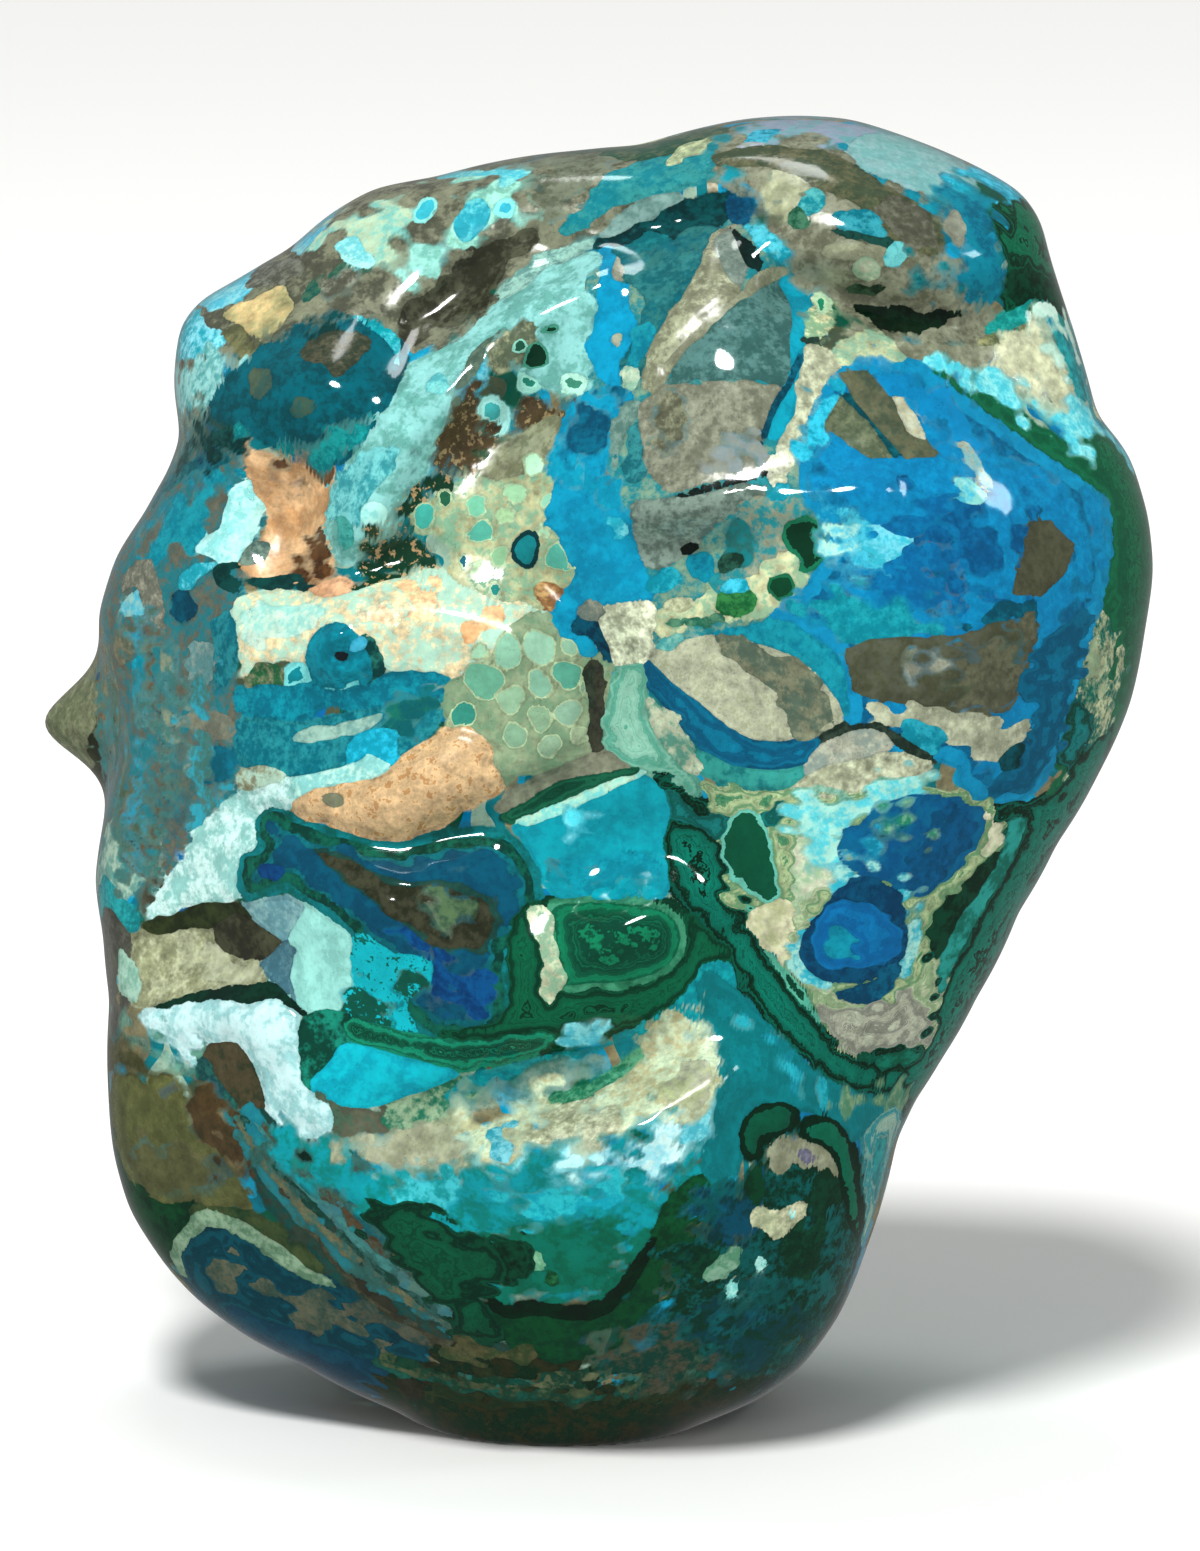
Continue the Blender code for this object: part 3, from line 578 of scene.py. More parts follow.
growth("bottom olive", "3f4428", "203a24", "396,1400 450,1364 520,1374 600,1390 700,1383 660,1402 550,1408 "
       "480,1402 430,1407", "banded", ragged=0.3, size=0.8)
growth("bottom brown", "36382a", "2a2c1c", "380,1386 430,1376 440,1384 400,1396", ragged=0.2)
growth("bottom sheen", "1f4f3c", "48503a", "540,1388 600,1372 680,1378 640,1396 570,1402", ragged=0.4)
fan("bottom fibre", "1c4a38", "1f6a5c 5f6a4c 0c4a34 3a8078 55583c 0f5a4c 70785a",
    (352, 1350, 26, 6), (470, 1406, 20, -3), (660, 1392, 22, -9), half_width=5.0, ragged=0.2)

# The middle: an azure strip, blue slopes below it, and the black-edged slabs at the top.
growth("middle ground", "2a8a91", "7f9c88", "604,250 640,230 740,200 800,270 800,500 820,620 660,660 "
       "604,640 604,400", ragged=0.5)
growth("blue slope", "109cba", "0c86a4", "588,395 615,384 642,398 622,420 602,470 612,495 640,520 642,560 "
       "664,590 642,612 604,602 588,622 604,662 580,652 558,630 548,602 576,582 562,545 540,520 555,490 "
       "548,450 566,412", ragged=0.2)
growth("cyan slope", "14a1ba", "0c8ea7", "556,438 580,450 602,468 624,500 612,520 586,492 560,466 548,472",
       ragged=0.5)
growth("navy slope", "0a5670", "0c6f87", "566,434 584,412 604,402 628,396 614,430 602,468 582,454",
       ragged=0.5)
growth("slope stain", "2fb0c3", "7fd0d8", disc(616, 525, 9), ragged=0.25)
growth("slope dark bits", "0a3c50", "0a566a", "585,612 600,625 612,648 604,664 590,640 572,630",
       ragged=0.25)
growth("slate strip beside", "86a298", "5f8078", "608,424 624,404 642,398 640,412 626,430 620,460 612,468")
growth("teal chips beside", "1f6b73", "3f8f92", "624,432 640,420 644,450 640,490 626,480", ragged=0.2)
growth("azure strip", "10a0c2", "0c8eae", "598,240 612,240 624,254 630,300 642,330 632,360 620,386 602,378 "
       "588,360 596,320 600,290 604,262")
growth("strip chip one", "a1a694", "8c907f", "614,256 630,262 626,281 614,276")
growth("strip chip two", "a3a897", "8f9c84", "613,330 627,333 622,352 611,346")
growth("teal slab", "126e78", "377a78", "620,254 640,236 700,218 720,226 702,262 682,300 662,342 642,384 "
       "622,388 620,355 640,325 640,290 624,275", ragged=0.15)
growth("slab slate", "1c6a70", "3a8080", "640,262 690,248 684,290 650,312 636,292", ragged=0.35)
growth("slab azure", "0c8194", "1f929f", "630,330 655,318 650,350 636,380 624,372", ragged=0.2)
growth("pale lump", "c4d4bc", "8fb4a0", disc(633, 378, 9), ragged=0.2, rise=0.2)

# The clasts of brown and grey rock in the middle, sharp-edged where the rock broke.
growth("ridge clast", "858973", "9fa48b", "640,386 648,350 665,320 682,298 702,262 712,234 736,225 750,260 "
       "742,292 716,322 692,346 672,372 656,398", ragged=0.08, rise=0.25, smooth=0)
growth("ridge clast crest", "9a9f86", "7c806c", "738,294 760,268 792,268 786,277 770,283 720,325 690,350 "
       "668,378 662,366 690,336", ragged=0.1, smooth=0)
growth("slate block", "6f8078", "86948a", "712,240 736,226 748,262 741,292 724,270", ragged=0.08, smooth=0)
growth("dark crack", "15332f", "0c2420", "730,226 748,238 764,262 760,274 746,264 737,246", ragged=0.08,
       rise=-0.3, smooth=0)
growth("grey clast", "416a66", "5f8682", "792,276 770,284 740,301 715,324 690,347 672,369 667,385 700,381 "
       "745,379 788,387 794,350 797,310", ragged=0.1, smooth=0)
growth("taupe clast face", "7b7f6f", "8f9382", "668,384 650,394 638,406 640,430 648,470 668,492 700,487 "
       "768,471 764,440 772,415 788,388 745,379")
growth("lavender sheen", "8d9a9a", "8a8f84", "685,476 720,450 757,436 764,455 757,470 700,483", ragged=0.6)
growth("clast grain", "666957", "848872", "660,412 680,402 690,430 676,452 664,440", ragged=0.5)
growth("cyan vein", "12a1b4", "0e8a9e", "776,280 790,274 802,278 816,294 808,330 803,360 796,392 792,420 "
       "777,442 766,440 770,415 779,398 789,376 790,345 794,315 787,296", ragged=0.08)
growth("vein line", "0a4c5d", "0c6679", "800,345 804,352 794,384 778,406 768,436 760,448 763,425 774,400 "
       "789,378", ragged=0.06)
growth("web east", "8fb090", "c4c4a0", "812,288 830,300 832,330 816,346 804,332", ragged=0.15)
growth("web eye", "2a8c6c", "b4d0b0", disc(822, 303, 11), "rimmed", size=0.18)
growth("web dark", "2f4a40", "6f8068", "800,338 822,336 826,341 804,345", ragged=0.06)
growth("tan east", "a5aa92", "bac0a7", "800,345 830,350 842,372 818,400 802,430 792,470 776,492 764,476 "
       "779,441 794,420 797,395", ragged=0.15)
growth("clast crack", "101f1b", "1c2c28", "664,499 690,490 720,482 745,473 772,469 774,474 745,481 720,489 "
       "690,497", ragged=0.05, rise=-0.2)
growth("clast foot", "64756c", "84968c", "630,500 660,499 690,497 740,484 768,484 764,498 745,515 720,521 "
       "700,545 680,560 660,572 645,566 634,535", ragged=0.08, rise=0.2, smooth=0)
# The foot hole's near-black is painted shade in the gap under the clast foot.
growth("foot hole", "070d0b", "12201c", "678,549 690,541 702,545 696,553 680,556", ragged=0.06, rise=-0.15)
growth("foot blue", "0d778d", "0f8a9c", "682,558 700,549 713,551 717,570 706,582 690,577", ragged=0.1)

# The mixed ground under the clasts: cream web, green pods and cyan caps, and the cream joint below.
growth("cream web", "c8caa4", "93b094", "690,602 720,578 742,545 790,545 812,575 802,602 770,614 740,622 "
       "700,622 680,642 650,642 640,618 660,603", ragged=0.2)
growth("mixed strip", "979c86", "2d8c91", "738,502 765,492 800,496 802,512 790,540 768,562 742,590 720,592 "
       "714,570 728,545 728,520", ragged=0.35)
growth("strip teal", "1f8386", "2f6f6c", "722,545 740,528 754,532 748,552 734,566 726,560", ragged=0.5)
growth("strip dark", "1c3f34", "2f5f50", "714,562 730,552 742,560 728,574 716,574", ragged=0.15)
growth("strip cyan top", "1a92a1", "4fb4c4", "765,490 785,484 795,492 780,500 766,500", ragged=0.15)
growth("green pod one", "0b3f2a", "1f7a5c", "782,532 795,518 812,516 826,535 828,556 816,566 808,574 "
       "797,570 801,556 788,546", "rimmed", size=0.22, rise=-0.2)
growth("green pod two", "0d4a30", "1f7050", disc(780, 587, 13), "rimmed", size=0.2, rise=0.2)
growth("green pod three", "1f6a40", "3f8a50", "714,606 722,590 740,584 757,595 757,609 740,617 724,615",
       ragged=0.1, rise=0.2)
growth("pod cap", "129cae", "4fc0d4", "718,588 735,577 752,581 749,593 726,594", ragged=0.1)
growth("tan pod", "9ba084", "b6bc9d", "660,602 690,592 700,606 684,616 664,614")
growth("web blue", "0f8999", "2fa4b2", "640,578 668,566 684,580 664,592 646,594", ragged=0.2)
growth("web green", "2f6f5c", "5f8f74", "655,616 700,612 730,620 700,628 665,630", ragged=0.2)
growth("cream joint", "adb29a", "ccd2ba", "598,606 630,600 662,604 657,640 650,660 622,667 606,642 600,622",
       ragged=0.15)
growth("joint grey", "9a9c8c", "6f7c74", "575,606 600,600 606,616 592,622", ragged=0.2)

# The top: slabs of teal, a black-blue fissure, and the knob of brown rock with polished clasts.
growth("teal slab top", "1d8690", "3f9494", "578,205 600,174 640,150 700,135 722,168 692,186 650,191 "
       "612,206 592,226 570,237 556,232", ragged=0.15)
growth("dark top edge", "2c5a48", "5a6a54", "556,145 620,132 700,118 692,150 640,156 600,160", ragged=0.2)
growth("olive blob", "9aa888", "b4bc98", "656,140 690,134 702,150 680,161 660,163", ragged=0.15)
growth("slate wedge top", "8aa8a2", "6a8c86", "598,236 620,214 650,199 684,194 672,211 640,226 610,242")
# The fissure's near-black is painted shade in the step where the slab above it stands out.
growth("fissure", "083a3c", "0a5456", "586,247 600,236 640,226 680,206 725,190 752,200 746,215 720,222 "
       "690,232 650,246 610,252", ragged=0.15, rise=-0.25)
growth("fissure teal", "0f6c72", "1f7f82", "592,250 620,240 660,232 690,224 660,243 620,254", ragged=0.2)
growth("navy block", "0a4762", "0c5b77", "722,196 745,190 753,205 749,224 728,222", ragged=0.08)
growth("cyan east", "1c9dae", "5fc0cc", "744,224 770,229 792,250 797,272 780,263 760,246 746,236")
growth("knob rock", "929682", "696c5a", "698,125 740,105 820,100 900,120 930,200 944,250 962,272 988,300 "
       "1002,330 980,348 930,348 880,337 840,322 814,292 798,270 770,235 745,200 716,180", ragged=0.5)
growth("knob cream", "afb499", "93987c", "748,172 790,164 812,185 802,212 775,218 750,202", ragged=0.5)
growth("knob top grey", "93a0b0", "6fa4a6", "715,118 760,100 820,98 870,108 890,128 860,150 820,142 "
       "780,132 738,138", ragged=0.5)
growth("knob blue chips", "188a9c", "4fb0c4", "732,130 755,120 768,128 752,139 735,142", ragged=0.15)
growth("knob teal left", "1f94a0", "2f7f82", "698,132 716,148 738,165 764,180 752,191 724,176 702,160",
       ragged=0.5)
# The pale lavender patch on the knob is partly a painted sheen of the polish.
growth("knob lavender", "a8b0b8", "8f9890", "718,150 745,139 764,150 745,160 724,161", ragged=0.15)
growth("azure collar", "1296a6", "0c7d90", "815,146 850,162 890,180 925,195 950,200 948,215 925,214 "
       "898,202 868,191 846,180", ragged=0.5)
growth("polished clast", "7db0ae", "8fb4b4", "835,140 850,122 880,122 912,135 940,152 960,178 950,192 "
       "925,196 890,181 856,166", ragged=0.06, rise=0.15)
growth("olive clast", "4c5a46", "64664c", "700,156 735,145 790,144 832,151 862,170 892,190 926,205 942,235 "
       "938,258 905,250 880,226 860,206 835,196 800,176 765,166 728,168", ragged=0.08, rise=0.3)
growth("olive clast end", "595c4d", "6d7061", "872,200 905,196 926,208 940,236 935,254 905,246 882,224",
       ragged=0.3)
growth("knob teal chips", "1a8993", "5fb0b0", "800,196 814,188 827,198 813,217 800,210")
growth("knob green chips", "1f5a44", "4f8068", "788,214 800,208 806,224 796,232", ragged=0.15)
growth("knob blue seam", "0f7a88", "3f9ca7", "830,214 860,203 894,235 870,240 840,233", ragged=0.15)
growth("knob dark seam", "0f3a34", "1f5048", "826,226 880,236 912,248 905,254 880,246 838,236", ragged=0.08,
       rise=-0.3)
growth("taupe dome", "9ba088", "838771", "826,242 860,238 892,250 888,266 850,263 824,256", rise=0.3)
growth("pale oval", "b0b8a0", "7f9c84", "848,266 862,254 880,264 877,281 856,283", ragged=0.1)
growth("cyan fleck", "2fa0ae", "6fb8b8", disc(898, 256, 10, 1.3), ragged=0.2)
growth("dark spots", "1f3a28", "3f5a44", "838,292 860,280 888,284 882,296 856,298", ragged=0.25)
# Painted shade: a near-black strip along the floor of the valley under the knob.
growth("valley shade", "12301f", "0a1f14", "852,302 880,303 920,313 968,305 952,322 915,332 885,332 866,318",
       ragged=0.22, rise=-0.15)
growth("azure shoulder", "128a9c", "0a6c82", "950,168 975,180 1002,195 992,220 1002,250 1010,275 996,300 "
       "970,308 948,296 946,280 965,252 960,225 944,205 946,188", ragged=0.5)
growth("shoulder cyan", "18a5b8", "4fc4dc", "945,146 985,160 1020,180 1004,200 975,186 954,172", ragged=0.5)
growth("shoulder chip", "959a8b", "808476", "947,215 962,209 968,236 956,247 946,232")
growth("shoulder teal mix", "2f8f92", "0f6b71", "905,262 940,262 950,285 930,300 905,285", ragged=0.5)
growth("green flank", "0b7556", "053a26", "998,182 1030,190 1060,215 1075,300 1042,312 1010,320 1000,300 "
       "1012,270 1005,240 1002,220 985,206", "banded", ragged=0.3, size=0.7)
growth("green flank shade", "063220", "0a4a34", "1008,272 1050,262 1080,296 1044,307 1010,306", ragged=0.2)
growth("flank teal strip", "148c86", "2fa49c", "982,327 1020,305 1060,296 1085,300 1072,314 1040,318 "
       "1010,327 985,337")
growth("flank olive strip", "6f7a58", "8f906c", "980,338 1030,325 1046,318 1044,332 1010,342 978,348")
growth("taupe sweep", "9da28c", "7c806b", "826,328 880,336 930,346 975,345 1006,344 990,366 930,357 "
       "905,354 870,350", ragged=0.2)
growth("cream arch", "bcc29e", "8fb098", "832,356 842,342 862,330 888,335 902,350 908,372 892,381 870,364 "
       "846,364", ragged=0.15)

# The right: a cream notch, malachite bands round the edge, and a pool of azure chrysocolla with clasts in it.
growth("notch", "d2d6b6", "b1b69a", "983,364 1000,344 1044,305 1056,330 1070,360 1084,390 1090,412 "
       "1070,422 1040,408 1010,388", ragged=0.5)
growth("notch pale rim", "cfe8dc", "b4d8c8", "1040,308 1052,302 1066,345 1076,385 1062,372 1048,338",
       ragged=0.5)
growth("notch teal", "10888b", "2fa8ab", "1050,300 1078,296 1100,350 1112,400 1094,416 1080,388 1064,346",
       ragged=0.1)
growth("malachite band", "0a5c40", "14704e", "918,356 950,362 1000,393 1050,428 1080,450 1108,446 1135,430 "
       "1170,480 1185,580 1170,680 1130,760 1090,815 1060,850 1030,870 1040,810 1075,740 1092,680 1106,610 "
       "1112,550 1108,512 1094,490 1060,468 1000,427 950,388", "banded", ragged=0.25, size=0.6, wrap=5.0)
growth("cyan tip", "5ccad6", "93dcdc", "925,362 938,354 985,376 1015,394 1042,406 1075,417 1098,408 "
       "1118,425 1112,448 1092,457 1060,442 1030,422 1000,402 980,387", ragged=0.5)
growth("margin mix", "0f6f60", "a9b090", "1082,640 1096,610 1114,620 1124,680 1112,740 1088,780 1058,792 "
       "1074,742 1080,690", ragged=0.35)
growth("margin pale", "a9b494", "8fa486", "1092,640 1104,650 1108,700 1098,700 1090,670", ragged=0.3)
growth("margin teal", "148485", "0a4a3c", "1058,705 1088,698 1096,740 1078,772 1056,764", "banded",
       ragged=0.2, size=0.6)
growth("azure pool", "1594b8", "1088ac", "828,374 862,362 905,360 928,368 962,394 1002,424 1042,452 "
       "1082,478 1107,500 1114,530 1110,570 1097,620 1078,680 1064,730 1047,777 1020,802 985,803 962,787 "
       "958,762 900,752 850,748 848,690 843,652 800,628 760,622 790,600 812,580 832,550 827,520 805,502 "
       "798,480 801,450 811,410", ragged=0.1)
growth("pool line", "0a6689", "0c7799", "azure pool", inset=0.75)
growth("pool", "0c82ac", "0e8cb4", "azure pool", inset=1.1, ragged=0.5)
growth("pool deep", "096a96", "0b78a2", "850,585 888,545 905,506 950,492 1010,505 1024,540 1008,590 "
       "980,612 930,624 885,642 852,640 870,605", ragged=1.0)
growth("pool deepest", "075c86", "096c96", "930,530 970,508 1012,520 1014,560 990,590 950,590", ragged=0.8)
growth("pool bright", "0f8cb8", "0d84ae", "866,366 905,362 930,376 965,412 985,450 950,455 920,422 890,388",
       ragged=0.5)
growth("pool corner", "1a9db3", "3fbcd2", "812,415 830,380 842,380 838,400 822,432 806,460", ragged=0.5)
growth("pool haze", "1f9cb8", "4fb6c8", "822,500 850,508 872,540 884,562 852,578 832,575 842,548",
       ragged=0.5)
growth("pool puffs", "b0dcd0", "5fbccc", "828,526 845,528 852,550 840,568 826,566 838,548", ragged=0.5)
growth("pool puff two", "7fd0dc", "3fb0c0", "868,540 884,532 898,545 888,562 874,556", ragged=0.4)
growth("pool shallows", "0c8694", "1f9aa5", "798,602 850,590 900,606 950,618 965,632 900,642 850,652 "
       "822,634", ragged=0.5)
growth("pool clast west", "5c6a54", "6f7860", "822,426 842,394 868,418 898,457 870,459 846,443",
       ragged=0.05, smooth=0)
growth("clast seam", "0a5159", "0a666f", "838,392 850,392 882,432 906,458 894,458 866,420", ragged=0.06,
       smooth=0)
growth("pool clast east", "6a6e56", "4c5a4a", "838,370 868,371 892,400 914,425 928,440 942,457 905,458 "
       "880,431 854,400", ragged=0.05, smooth=0)
growth("clast cream edge", "bac0ac", "a0a088", "890,396 904,398 916,412 932,442 920,442 904,422")
growth("arc chip", "abb09c", "7fb0b4", "952,440 968,443 987,470 998,492 984,489 970,468")
growth("arc flecks", "8fccc4", "4fb0c4", "958,482 975,490 980,502 964,498", ragged=0.3)
growth("square clast", "5b5e4a", "4c4e3d", "1030,523 1050,520 1075,545 1063,577 1042,596 1011,594 1021,565",
       ragged=0.05, smooth=0)
growth("pool shade", "085668", "0a6a7d", "968,618 1000,600 1040,612 1030,620 990,624 960,636", ragged=0.3)
growth("great clast", "5f6454", "505440", "845,650 870,640 905,637 960,635 990,624 1030,616 1041,626 "
       "1032,655 1022,690 1008,714 960,714 930,707 885,702 853,694 848,670", ragged=0.08, rise=0.15,
       smooth=0)
growth("great clast shade", "595c4a", "656854", "956,650 1022,628 1032,636 1016,686 1006,714 968,714 "
       "948,690", ragged=0.8)
growth("great clast pale", "9ba08f", "7e8275", "890,655 930,650 945,670 920,680 895,675", ragged=0.5)
growth("cream blotches", "bac0a8", "939883", "858,700 885,708 920,705 960,715 1000,722 1020,714 1034,736 "
       "1014,757 980,764 958,748 930,732 900,738 872,724", ragged=0.3)
growth("blue between", "0c8697", "2fa0b0", "894,720 930,724 947,746 922,758 898,746", ragged=0.25)
growth("right arm", "0a7793", "0a5b77", "1038,640 1062,618 1088,600 1074,680 1058,740 1042,782 1012,798 "
       "985,798 974,786 1010,775 1032,740 1040,700 1018,702 1030,660", "banded", ragged=0.3, size=1.6)
growth("arm dark", "0a3c3d", "0a5660", "1000,758 1024,745 1020,762 1002,770", ragged=0.2)

# The taupe clast at the centre with its blue crescent, and the grey wedges east of it.
growth("azure arch", "0c8498", "1a94a2", "700,636 735,628 780,616 816,638 842,660 848,690 852,718 835,702 "
       "815,670 785,652 745,642")
growth("crescent lip", "3f9c94", "1f7777", "650,694 668,716 695,745 730,765 780,772 810,766 800,778 "
       "785,788 740,788 700,768 668,735")
growth("blue crescent", "0a7b95", "0a5b78", "642,664 656,660 680,685 712,716 745,740 790,745 824,740 "
       "818,756 780,771 740,769 705,752 675,717 650,688", "banded", ragged=0.15, size=0.9)
growth("clast tan", "a9ae98", "959a82", "648,658 665,644 700,635 745,639 790,655 816,672 840,702 838,722 "
       "812,732 775,741 755,739 730,727 700,702 670,682", "speckled", ragged=0.08, rise=0.15, smooth=0)
growth("clast slate", "5f7062", "7c806a", "718,640 760,642 795,658 820,675 838,705 834,724 800,730 768,715 "
       "764,690 738,665", ragged=0.25, smooth=0)
growth("clast teal corner", "4f9c9c", "7fb4a8", "650,648 665,630 690,632 680,646 660,655", ragged=0.25)
growth("pale strand", "8fbaa8", "5f9f8c", "606,692 622,665 646,667 641,700 656,740 692,780 702,802 680,792 "
       "640,772 610,757 602,722", "banded", ragged=0.15, size=0.7)
growth("web strand", "b4bca4", "5f9080", "648,702 660,704 680,728 698,765 684,772 662,746 646,716",
       ragged=0.2)
growth("grey wedge", "8c9a92", "a4a898", "800,776 818,745 850,728 882,724 900,742 890,752 850,764 822,772",
       ragged=0.1)
growth("cream wedge", "9fa48c", "b4baa2", "780,806 792,788 830,764 880,753 916,750 938,765 902,781 860,791 "
       "802,802")
growth("wedge line", "26382f", "3f5044", "816,740 848,724 884,722 906,740 936,758 930,762 900,750 880,728 "
       "852,729 822,744", ragged=0.06, rise=-0.3)

# The malachite flow below the pool: banded green with a cream crust, azurite patches and an eye.
growth("flow", "077a68", "04301e", "640,762 668,772 700,800 800,812 900,792 960,802 1030,802 1062,790 "
       "1088,745 1120,740 1110,800 1075,880 1010,1000 950,1075 920,1095 860,1096 815,1074 788,1044 "
       "758,1014 738,990 735,965 715,940 690,915 668,885 660,860 650,830 655,810 660,790", "banded",
       ragged=0.2, size=0.7)
growth("flow inner", "127a5a", "a3b48c", "698,792 740,788 800,800 900,784 960,790 1000,800 1012,840 "
       "985,880 952,920 925,970 932,1010 920,1046 870,1058 838,1042 800,988 760,932 730,882 718,830",
       "banded", ragged=0.3, size=0.8)
growth("crescent band", "1c8482", "0f5f58", "660,786 690,806 740,822 770,812 782,800 790,812 770,830 "
       "730,840 690,828 660,806", "banded", ragged=0.15, size=0.6)
growth("green lobe", "0a5a42", "6fb8a8", "718,852 733,812 752,806 770,828 775,870 787,902 766,908 745,892 "
       "728,872", "rimmed", size=0.2)
growth("green lobe low", "0a4a36", "5fae98", "742,900 765,912 780,930 800,985 830,1030 815,1020 780,980 "
       "755,938", "rimmed", size=0.18)
growth("lobe cyan", "128390", "2fa8b3", "752,926 768,914 780,938 788,966 772,957 756,942", ragged=0.15)
growth("cream ground", "b6bca1", "8fa884", "800,850 850,855 860,880 830,890 806,930 804,962 832,985 "
       "880,1004 915,985 934,950 950,965 936,1010 915,1046 870,1055 842,1040 812,1000 786,962 768,920 "
       "788,888", "banded", ragged=0.3, size=0.6)
growth("cream crust", "c5cbb4", "9ab496", "786,832 818,834 850,862 848,880 822,890 800,920 786,942 800,962 "
       "832,972 842,1000 815,992 790,962 768,920 788,890 798,862", ragged=0.25)
growth("crust pale", "a9d8cc", "5fc0c8", "776,832 800,806 850,795 900,788 938,768 934,786 880,810 852,830 "
       "840,845 852,870 835,870 815,852 800,838", ragged=0.5)
growth("cream elbow", "d0d0b2", "b0b48f", "738,922 760,904 790,888 802,915 786,942 792,965 802,987 780,962 "
       "758,942", ragged=0.2)
growth("azurite", "0a6c90", "0a5a84", "842,862 838,834 860,818 890,804 930,794 960,799 987,810 990,832 "
       "970,862 940,882 910,900 880,887 858,880", ragged=0.2)
growth("azurite navy", "0a5578", "0a6088", "928,812 955,804 976,820 976,846 950,862 930,882 908,897 "
       "902,870 924,850", ragged=0.25)
growth("azurite green", "2f8a70", "7fae94", "882,822 915,812 930,822 905,836 884,840", ragged=0.5)
growth("azurite glint", "148aa4", "3fb0c8", "850,836 872,824 880,844 862,860", ragged=0.5)
growth("eye halo", "3fb0c0", "9fd0c8", disc(858, 935, 62), ragged=0.5)
growth("eye ring", "0a4767", "0a5878", disc(858, 934, 55))
growth("eye", "0d7cac", "0b6a9c", disc(856, 936, 41), "banded", ragged=0.15, size=1.2)
growth("eye pupil", "149aad", "0e8399", disc(846, 948, 13), ragged=0.3)
growth("eye tail", "0a4c69", "0a6884", "838,984 870,978 904,958 892,992 860,1006 828,1001", ragged=0.15)
growth("cream low", "adb2a0", "888c81", "808,1002 850,1012 880,1004 906,986 922,1000 932,1030 900,1052 "
       "860,1052 838,1036", "banded", ragged=0.2, size=0.5)
growth("flow low green", "12806c", "0a5a44", "858,1053 922,1048 906,1064 870,1068", ragged=0.15)
growth("flow dark", "0a4a34", "06301f", "936,905 975,868 1007,843 994,890 962,932 942,962 922,942",
       ragged=0.2)
growth("flow cream east", "d2d2b8", "a9b896", "982,812 1000,814 1008,835 996,850 978,862 986,832",
       ragged=0.2)
growth("flow teal line", "2f9c94", "0f6f60", "1008,815 1030,812 1020,850 985,905 952,962 940,1000 934,980 "
       "950,935 985,885 1004,850")

# The belly's turquoise ground, under the cream slope.
growth("belly", "109ca6", "0c847e", "268,1133 330,1140 380,1170 440,1165 500,1145 560,1140 620,1130 "
       "700,1090 712,1140 690,1180 655,1240 622,1282 600,1308 560,1302 520,1302 480,1292 430,1272 380,1227 "
       "330,1192", ragged=0.5)

# The cyan saddle, the striped pod under it and the cream slope.
growth("pod ground", "0b6a4c", "06402c", "500,950 520,905 545,895 600,905 665,895 700,920 730,960 700,1000 "
       "620,1032 540,1056 480,1062 425,1052 440,1035 500,1020 512,985", "banded", ragged=0.2, size=0.6)
growth("wavy dark", "0b4a38", "1a8f72", "345,1016 380,1028 410,1034 450,1042 500,1040 560,1030 545,1052 "
       "500,1064 450,1068 418,1058 380,1048 345,1042", "banded", size=0.5)
growth("saddle", "10a4b1", "0e92a0", "512,824 540,814 570,804 600,789 640,770 664,790 670,815 661,840 "
       "670,870 667,893 640,902 600,905 572,908 550,890 538,862 526,842", ragged=0.08)
growth("saddle deep", "0a8696", "0c96a5", "560,870 600,850 640,850 655,880 610,895 575,900", ragged=0.6)
growth("saddle lip", "b8dcc8", "7fc8c4", "516,818 560,804 600,785 640,767 652,772 600,796 550,819 522,828",
       ragged=0.08)
growth("saddle spot", "9fe0e4", "5fd0dc", disc(583, 828, 9), ragged=0.5)
growth("saddle dark lip", "0b4a38", "1f6a50", "500,816 540,792 560,780 640,764 642,772 600,784 560,800 "
       "516,820", "banded", ragged=0.1, size=0.35)
growth("pod halo", "4f9a7c", "2f7a5c", "540,902 580,896 620,898 662,901 684,917 690,945 680,968 652,985 "
       "600,990 556,995 540,977 550,940")
growth("striped pod", "0a4f3c", "13805e", "548,908 582,902 620,904 658,907 677,921 682,945 672,964 648,978 "
       "600,983 562,987 549,974 557,940", "banded", ragged=0.08, size=0.7)
growth("cream upright", "caceb0", "8fb096", "528,905 542,902 552,922 562,946 560,960 575,978 562,988 "
       "550,1012 540,992 544,960 532,936", ragged=0.15)
growth("teal band", "0b8a93", "129da2", "440,1098 470,1080 520,1062 580,1052 620,1040 680,1000 712,958 "
       "740,982 722,1052 704,1044 690,1012 665,1012 640,1032 600,1048 560,1062 500,1077 460,1096",
       ragged=0.15)
growth("teal light", "5fc0d2", "8fd4dc", "553,1052 575,1036 602,1030 597,1046 570,1057", ragged=0.5)
growth("teal wide", "0b868c", "0a777b", "698,975 735,988 760,1015 790,1045 820,1075 860,1094 912,1096 "
       "890,1118 862,1132 846,1152 830,1122 800,1102 760,1107 740,1130 745,1162 720,1202 700,1162 700,1100 "
       "716,1060 702,1020", "banded", ragged=0.15, size=1.8)
growth("wide light", "1f98a4", "2fa8b4", "742,1010 765,1030 800,1070 830,1092 810,1092 775,1062 745,1030",
       ragged=0.5)
growth("wide olive", "5a8a70", "7f9c7c", "846,1096 890,1094 930,1080 915,1100 880,1110 850,1108",
       ragged=0.5)
growth("slate band", "86a298", "5f8880", "445,1122 470,1100 510,1080 570,1070 620,1050 642,1038 634,1058 "
       "600,1080 560,1095 500,1106 468,1122", ragged=0.5)
